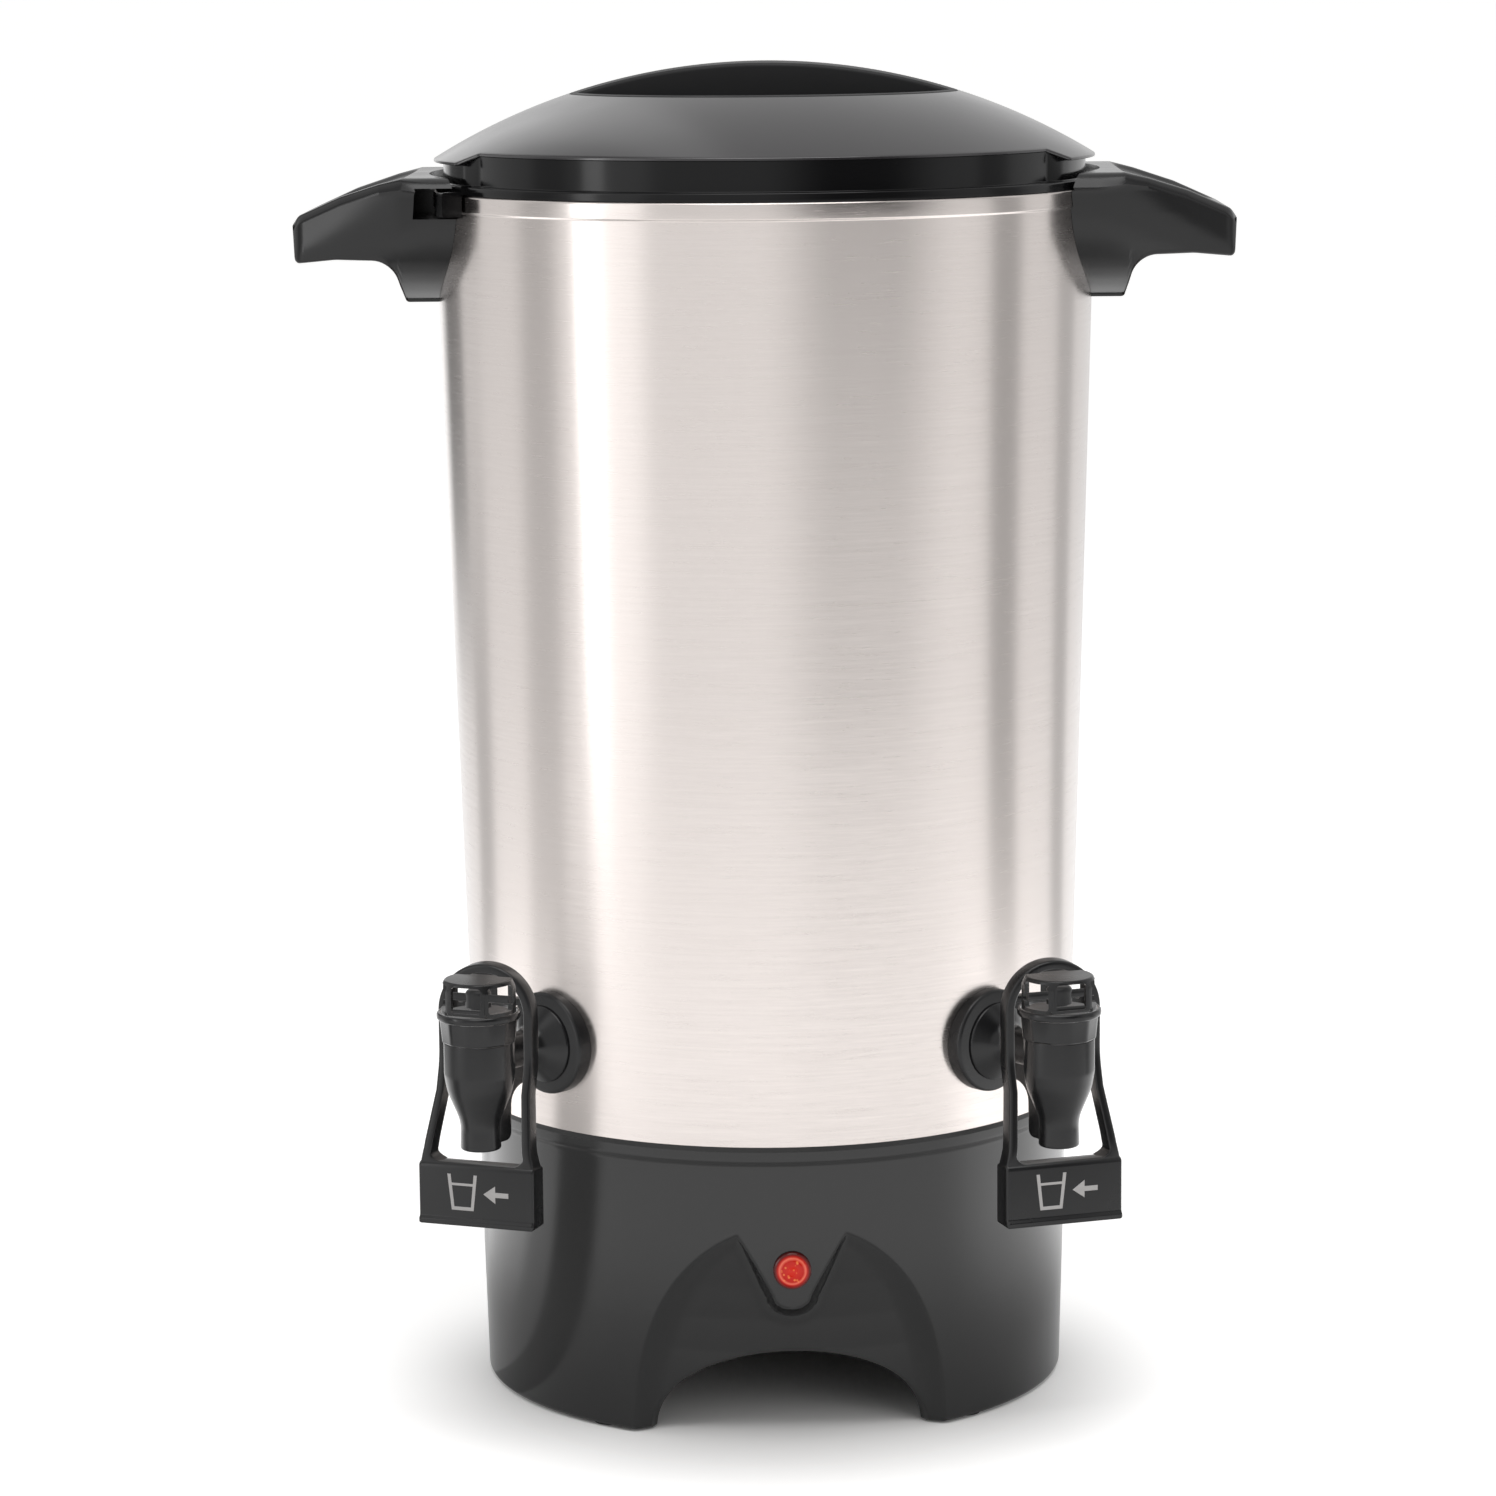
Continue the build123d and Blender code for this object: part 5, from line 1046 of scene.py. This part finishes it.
# A small printed sign on each paddle, in pale grey ink: a cup and an arrow towards the paddle.
ink_top = 5.06
sign_shapes = [
    [
        (-9.5, 88.0), (-8.4, 88.0), (-7.3, 77.6), (-1.7, 77.6),
        (-0.6, 88.0), (0.5, 88.0), (-0.8, 76.5), (-8.2, 76.5),
    ],
    [(-9.0, 85.2), (0.0, 85.2), (-0.1, 84.4), (-8.9, 84.4)],
    [(11.0, 81.4), (11.0, 83.0), (6.6, 83.0), (6.6, 85.0), (2.6, 82.2), (6.6, 79.4), (6.6, 81.4)],
]
ink_parts = [prism("sign", shape, 4.98, ink_top, edge=0.02, order=(2, 0, 1)) for shape in sign_shapes]
left_sign = ink_parts[0]
carved(left_sign, ink_parts[1:], "UNION")
left_sign.name = "left_paddle_sign"
right_sign = placed("right_paddle_sign", left_sign.data.copy())
left_sign.data.transform(lever_place)
right_sign.data.transform(standing(-lever_azimuth, outward(-tap_azimuth) * tap_axis_r))
ink = moulding("pale_grey_ink", "#a9a7a6", 0.6, grain_mm=0.2)
for sign, lever in ((left_sign, "left_lever"), (right_sign, "right_lever")):
    finished(sign, ink, body=lever)
    sign.visible_glossy = False


# ---------------------------------------------------------------- pilot light
# A red cap of moulded clear polymer with a bead round its edge and twelve flats round a
# bright middle. The lamp behind it is on.
lens_height = 56.3
lens_azimuth = base_clocking
lens_back = base_r(62.3) + 0.05
lens_rings = [
    (4.4, -8.0), (4.4, 0.02), (6.0, 0.02), (6.0, 0.7), (5.85, 1.2), (5.5, 1.5), (5.1, 1.45),
    (4.85, 1.3), (4.6, 1.35), (3.3, 2.0), (1.7, 2.15), (1.35, 1.95), (1.0, 2.0), (0.5, 2.12),
]
lens_loops = []
for r, depth in lens_rings:
    loop = []
    for step in range(72):
        angle = 2 * pi * step / 72
        facet = cos(pi / 12) / cos((angle % (pi / 6)) - pi / 12) if 1.5 < r < 4.7 and depth > 1 else 1.0
        loop.append((r * facet * cos(angle), r * facet * sin(angle), depth))
    lens_loops.append(loop)
lens = skin("pilot_lens_cap", lens_loops, ring=False, capped=True)
lens_centre = outward(lens_azimuth) * lens_back + Vector((0, 0, lens_height))
lens_place = standing(lens_azimuth, lens_centre) @ Matrix.Rotation(pi / 2, 4, "Y")
lens.data.transform(lens_place)

# The lens glows orange in its middle, red round it, with a pale ring and a dark edge. Pale
# spots of glow on some facets inside it are painted glints. Places are shares of the lens's reach from its
# centre.
lens_reach = 6.5
painted_glint_size = 1.5
painted_glint_share = 0.55
lens_stops = [
    (0.0, "#f59a3a"), (0.16, "#ee6a20"), (0.30, "#cf2410"), (0.60, "#b8160c"), (0.68, "#e8705a"),
    (0.74, "#b41a10"), (0.83, "#6a0e0a"), (0.90, "#2a0808"), (1.0, "#140808"),
]
red_lens, tree = new_material("lit_red_polymer_lens")
lens_gap = {0: node(tree, "TexCoord").outputs["Object"], 1: lens_place.translation}
centre_gap = node(tree, "VectorMath", lens_gap, operation="SUBTRACT").outputs[0]
reach = node(tree, "VectorMath", {0: centre_gap}, operation="LENGTH").outputs["Value"]
lens_tone = node(tree, "ValToRGB", {0: between(tree, reach, 0.0, lens_reach * mm)})
lens_tone.color_ramp.elements[0].color = linear(lens_stops[0][1])
lens_tone.color_ramp.elements[1].color = linear(lens_stops[-1][1])
for spot, tint in lens_stops[1:-1]:
    lens_tone.color_ramp.elements.new(spot).color = linear(tint)
# Painted glints: pale spots of glow on some facets inside the ring.
facets = node(tree, "TexVoronoi", {"Vector": centre_gap, "Scale": 1 / (painted_glint_size * mm)})
painted_glint_mask = between(tree, facets.outputs["Distance"], 0.34, 0.16)
inside_ring = between(tree, reach, 4.6 * mm, 4.1 * mm)
painted_glint_part = calculated(tree, "MULTIPLY", painted_glint_mask, inside_ring)
painted_glints = calculated(tree, "MULTIPLY", painted_glint_part, painted_glint_share)
# The glow stands for the lamp behind the lens; the pale orange spots mixed into it are painted glints.
lens_looks = {
    "Base Color": linear("#3a0604"),
    "Roughness": 0.12,
    "IOR": 1.33,
    "Emission Color": mixed(tree, painted_glints, lens_tone.outputs[0], linear("#ff9a52")),
    "Emission Strength": 0.9,
}
covered(tree, lens_looks)
finished(lens, red_lens, nodes=["pilot_lens"], sharp=20)


# ---------------------------------------------------------------- pieces kept as packed
# Fixings, seals, heaters, the percolator and the valves keep their engineering shape. Each
# gets the look of what it is made of, but the rocker plates and the base plate are drawn dark as painted
# shade.
wear_mm = 14.0
wear_spread = 0.2


def metal(name, colour, roughness, grain_mm=0.4, grain_depth=0.004, brushed=None):
    """Bare or plated metal whose roughness wanders, with a grain or with brushing round Z, in mm."""
    material, tree = new_material(name)
    place = node(tree, "TexCoord").outputs["Object"]
    wear = noise(tree, place, wear_mm * mm, 2.0)
    least, most = roughness * (1 - wear_spread), roughness * (1 + wear_spread)
    looks = {"Roughness": between(tree, wear, 0.3, 0.7, least, most), "Metallic": 1.0}
    if brushed:
        grain = noise(tree, around_and_up(tree, 30.0, brushed), 1.0, 4.0)
        looks["Tangent"] = node(tree, "Tangent", direction_type="RADIAL", axis="Z").outputs[0]
        looks["Anisotropic"] = 0.6
        looks["Anisotropic Rotation"] = 0.25
    else:
        grain = noise(tree, place, grain_mm * mm, 3.0)
    looks["Normal"] = bumped(tree, grain, 0.4, grain_depth)
    tone = between(tree, wear, 0.2, 0.8, 0.94, 1.04)
    looks["Base Color"] = mixed(tree, 1.0, linear(colour), tone, blend_type="MULTIPLY")
    covered(tree, looks)
    return material


def on_each_tap(part):
    """A part's left and right node."""
    return [f"left_{part}", f"right_{part}"]


def kept(look, *names):
    """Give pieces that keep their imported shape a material. A tap's pieces aren't mirrored in the steel."""
    for name in names:
        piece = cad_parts[name]
        piece.data.materials.clear()
        piece.data.materials.append(look)
        piece.data.shade_smooth()
        piece.data.set_sharp_from_angle(angle=radians(30))
        if name.startswith(("left_", "right_")):
            piece.visible_glossy = False


zinc_plated = metal("zinc_plated_steel", "#b9b8b6", 0.32)
kept(zinc_plated, "handle_screws", "plate_screws", "lid_screws", "tie_rod", "tie_nut")
kept(zinc_plated, "lens_clip", "thermostat")
kept(steel, "heat_well")
# Rocker plates: stainless steel drawn dark grey, as painted shade where they sit under the hoods.
kept(metal("blackened_stainless_steel", "#3c3b3c", 0.4), *on_each_tap("rocker_plate"))
aluminium = metal("drawn_aluminium", "#cfcdca", 0.34, grain_mm=0.6, brushed=0.8)
kept(aluminium, "pump_tube", "pump_foot", "coffee_basket", "basket_cover")
kept(metal("cast_aluminium", "#9c9a97", 0.5, grain_mm=1.2, grain_depth=0.05), "heater_plate")
kept(metal("oxidised_nickel_alloy_sheath", "#5d5650", 0.46), "brew_element", "warm_element")
kept(metal("nickel_plated_brass", "#c8b88c", 0.28), "inlet_pins", "well_nut")
kept(metal("stainless_spring_wire", "#c4c2c0", 0.25), *on_each_tap("spring"))
silicone = moulding("translucent_white_silicone", "#c9c6c0", 0.5)
kept(silicone, "lid_seal", "well_gasket", *on_each_tap("seat_cup"), *on_each_tap("inner_washer"))
kept(moulding("black_rubber", "#232323", 0.55, grain_depth=0.03), "seam_gasket", "base_feet")
# The steel base plate is drawn black so that the space seen through the arch stays dark: painted shade.
plate_black_for_shade = moulding("black_steel_plate_for_shade", "#1a1a1a", 0.42, grain_mm=0.8, grain_depth=0.03)
kept(plate_black_for_shade, "base_plate")
polyamide = moulding("matt_black_polyamide", "#242425", 0.48, grain_depth=0.04)
kept(polyamide, "inlet_socket", *on_each_tap("shank_nut"), *on_each_tap("stem"), *on_each_tap("pin"))
kept(moulding("white_glazed_ceramic", "#d8d4cb", 0.35), "thermal_fuse")
kept(moulding("neon_lamp_glass", "#d98a5c", 0.12), "pilot_lamp")
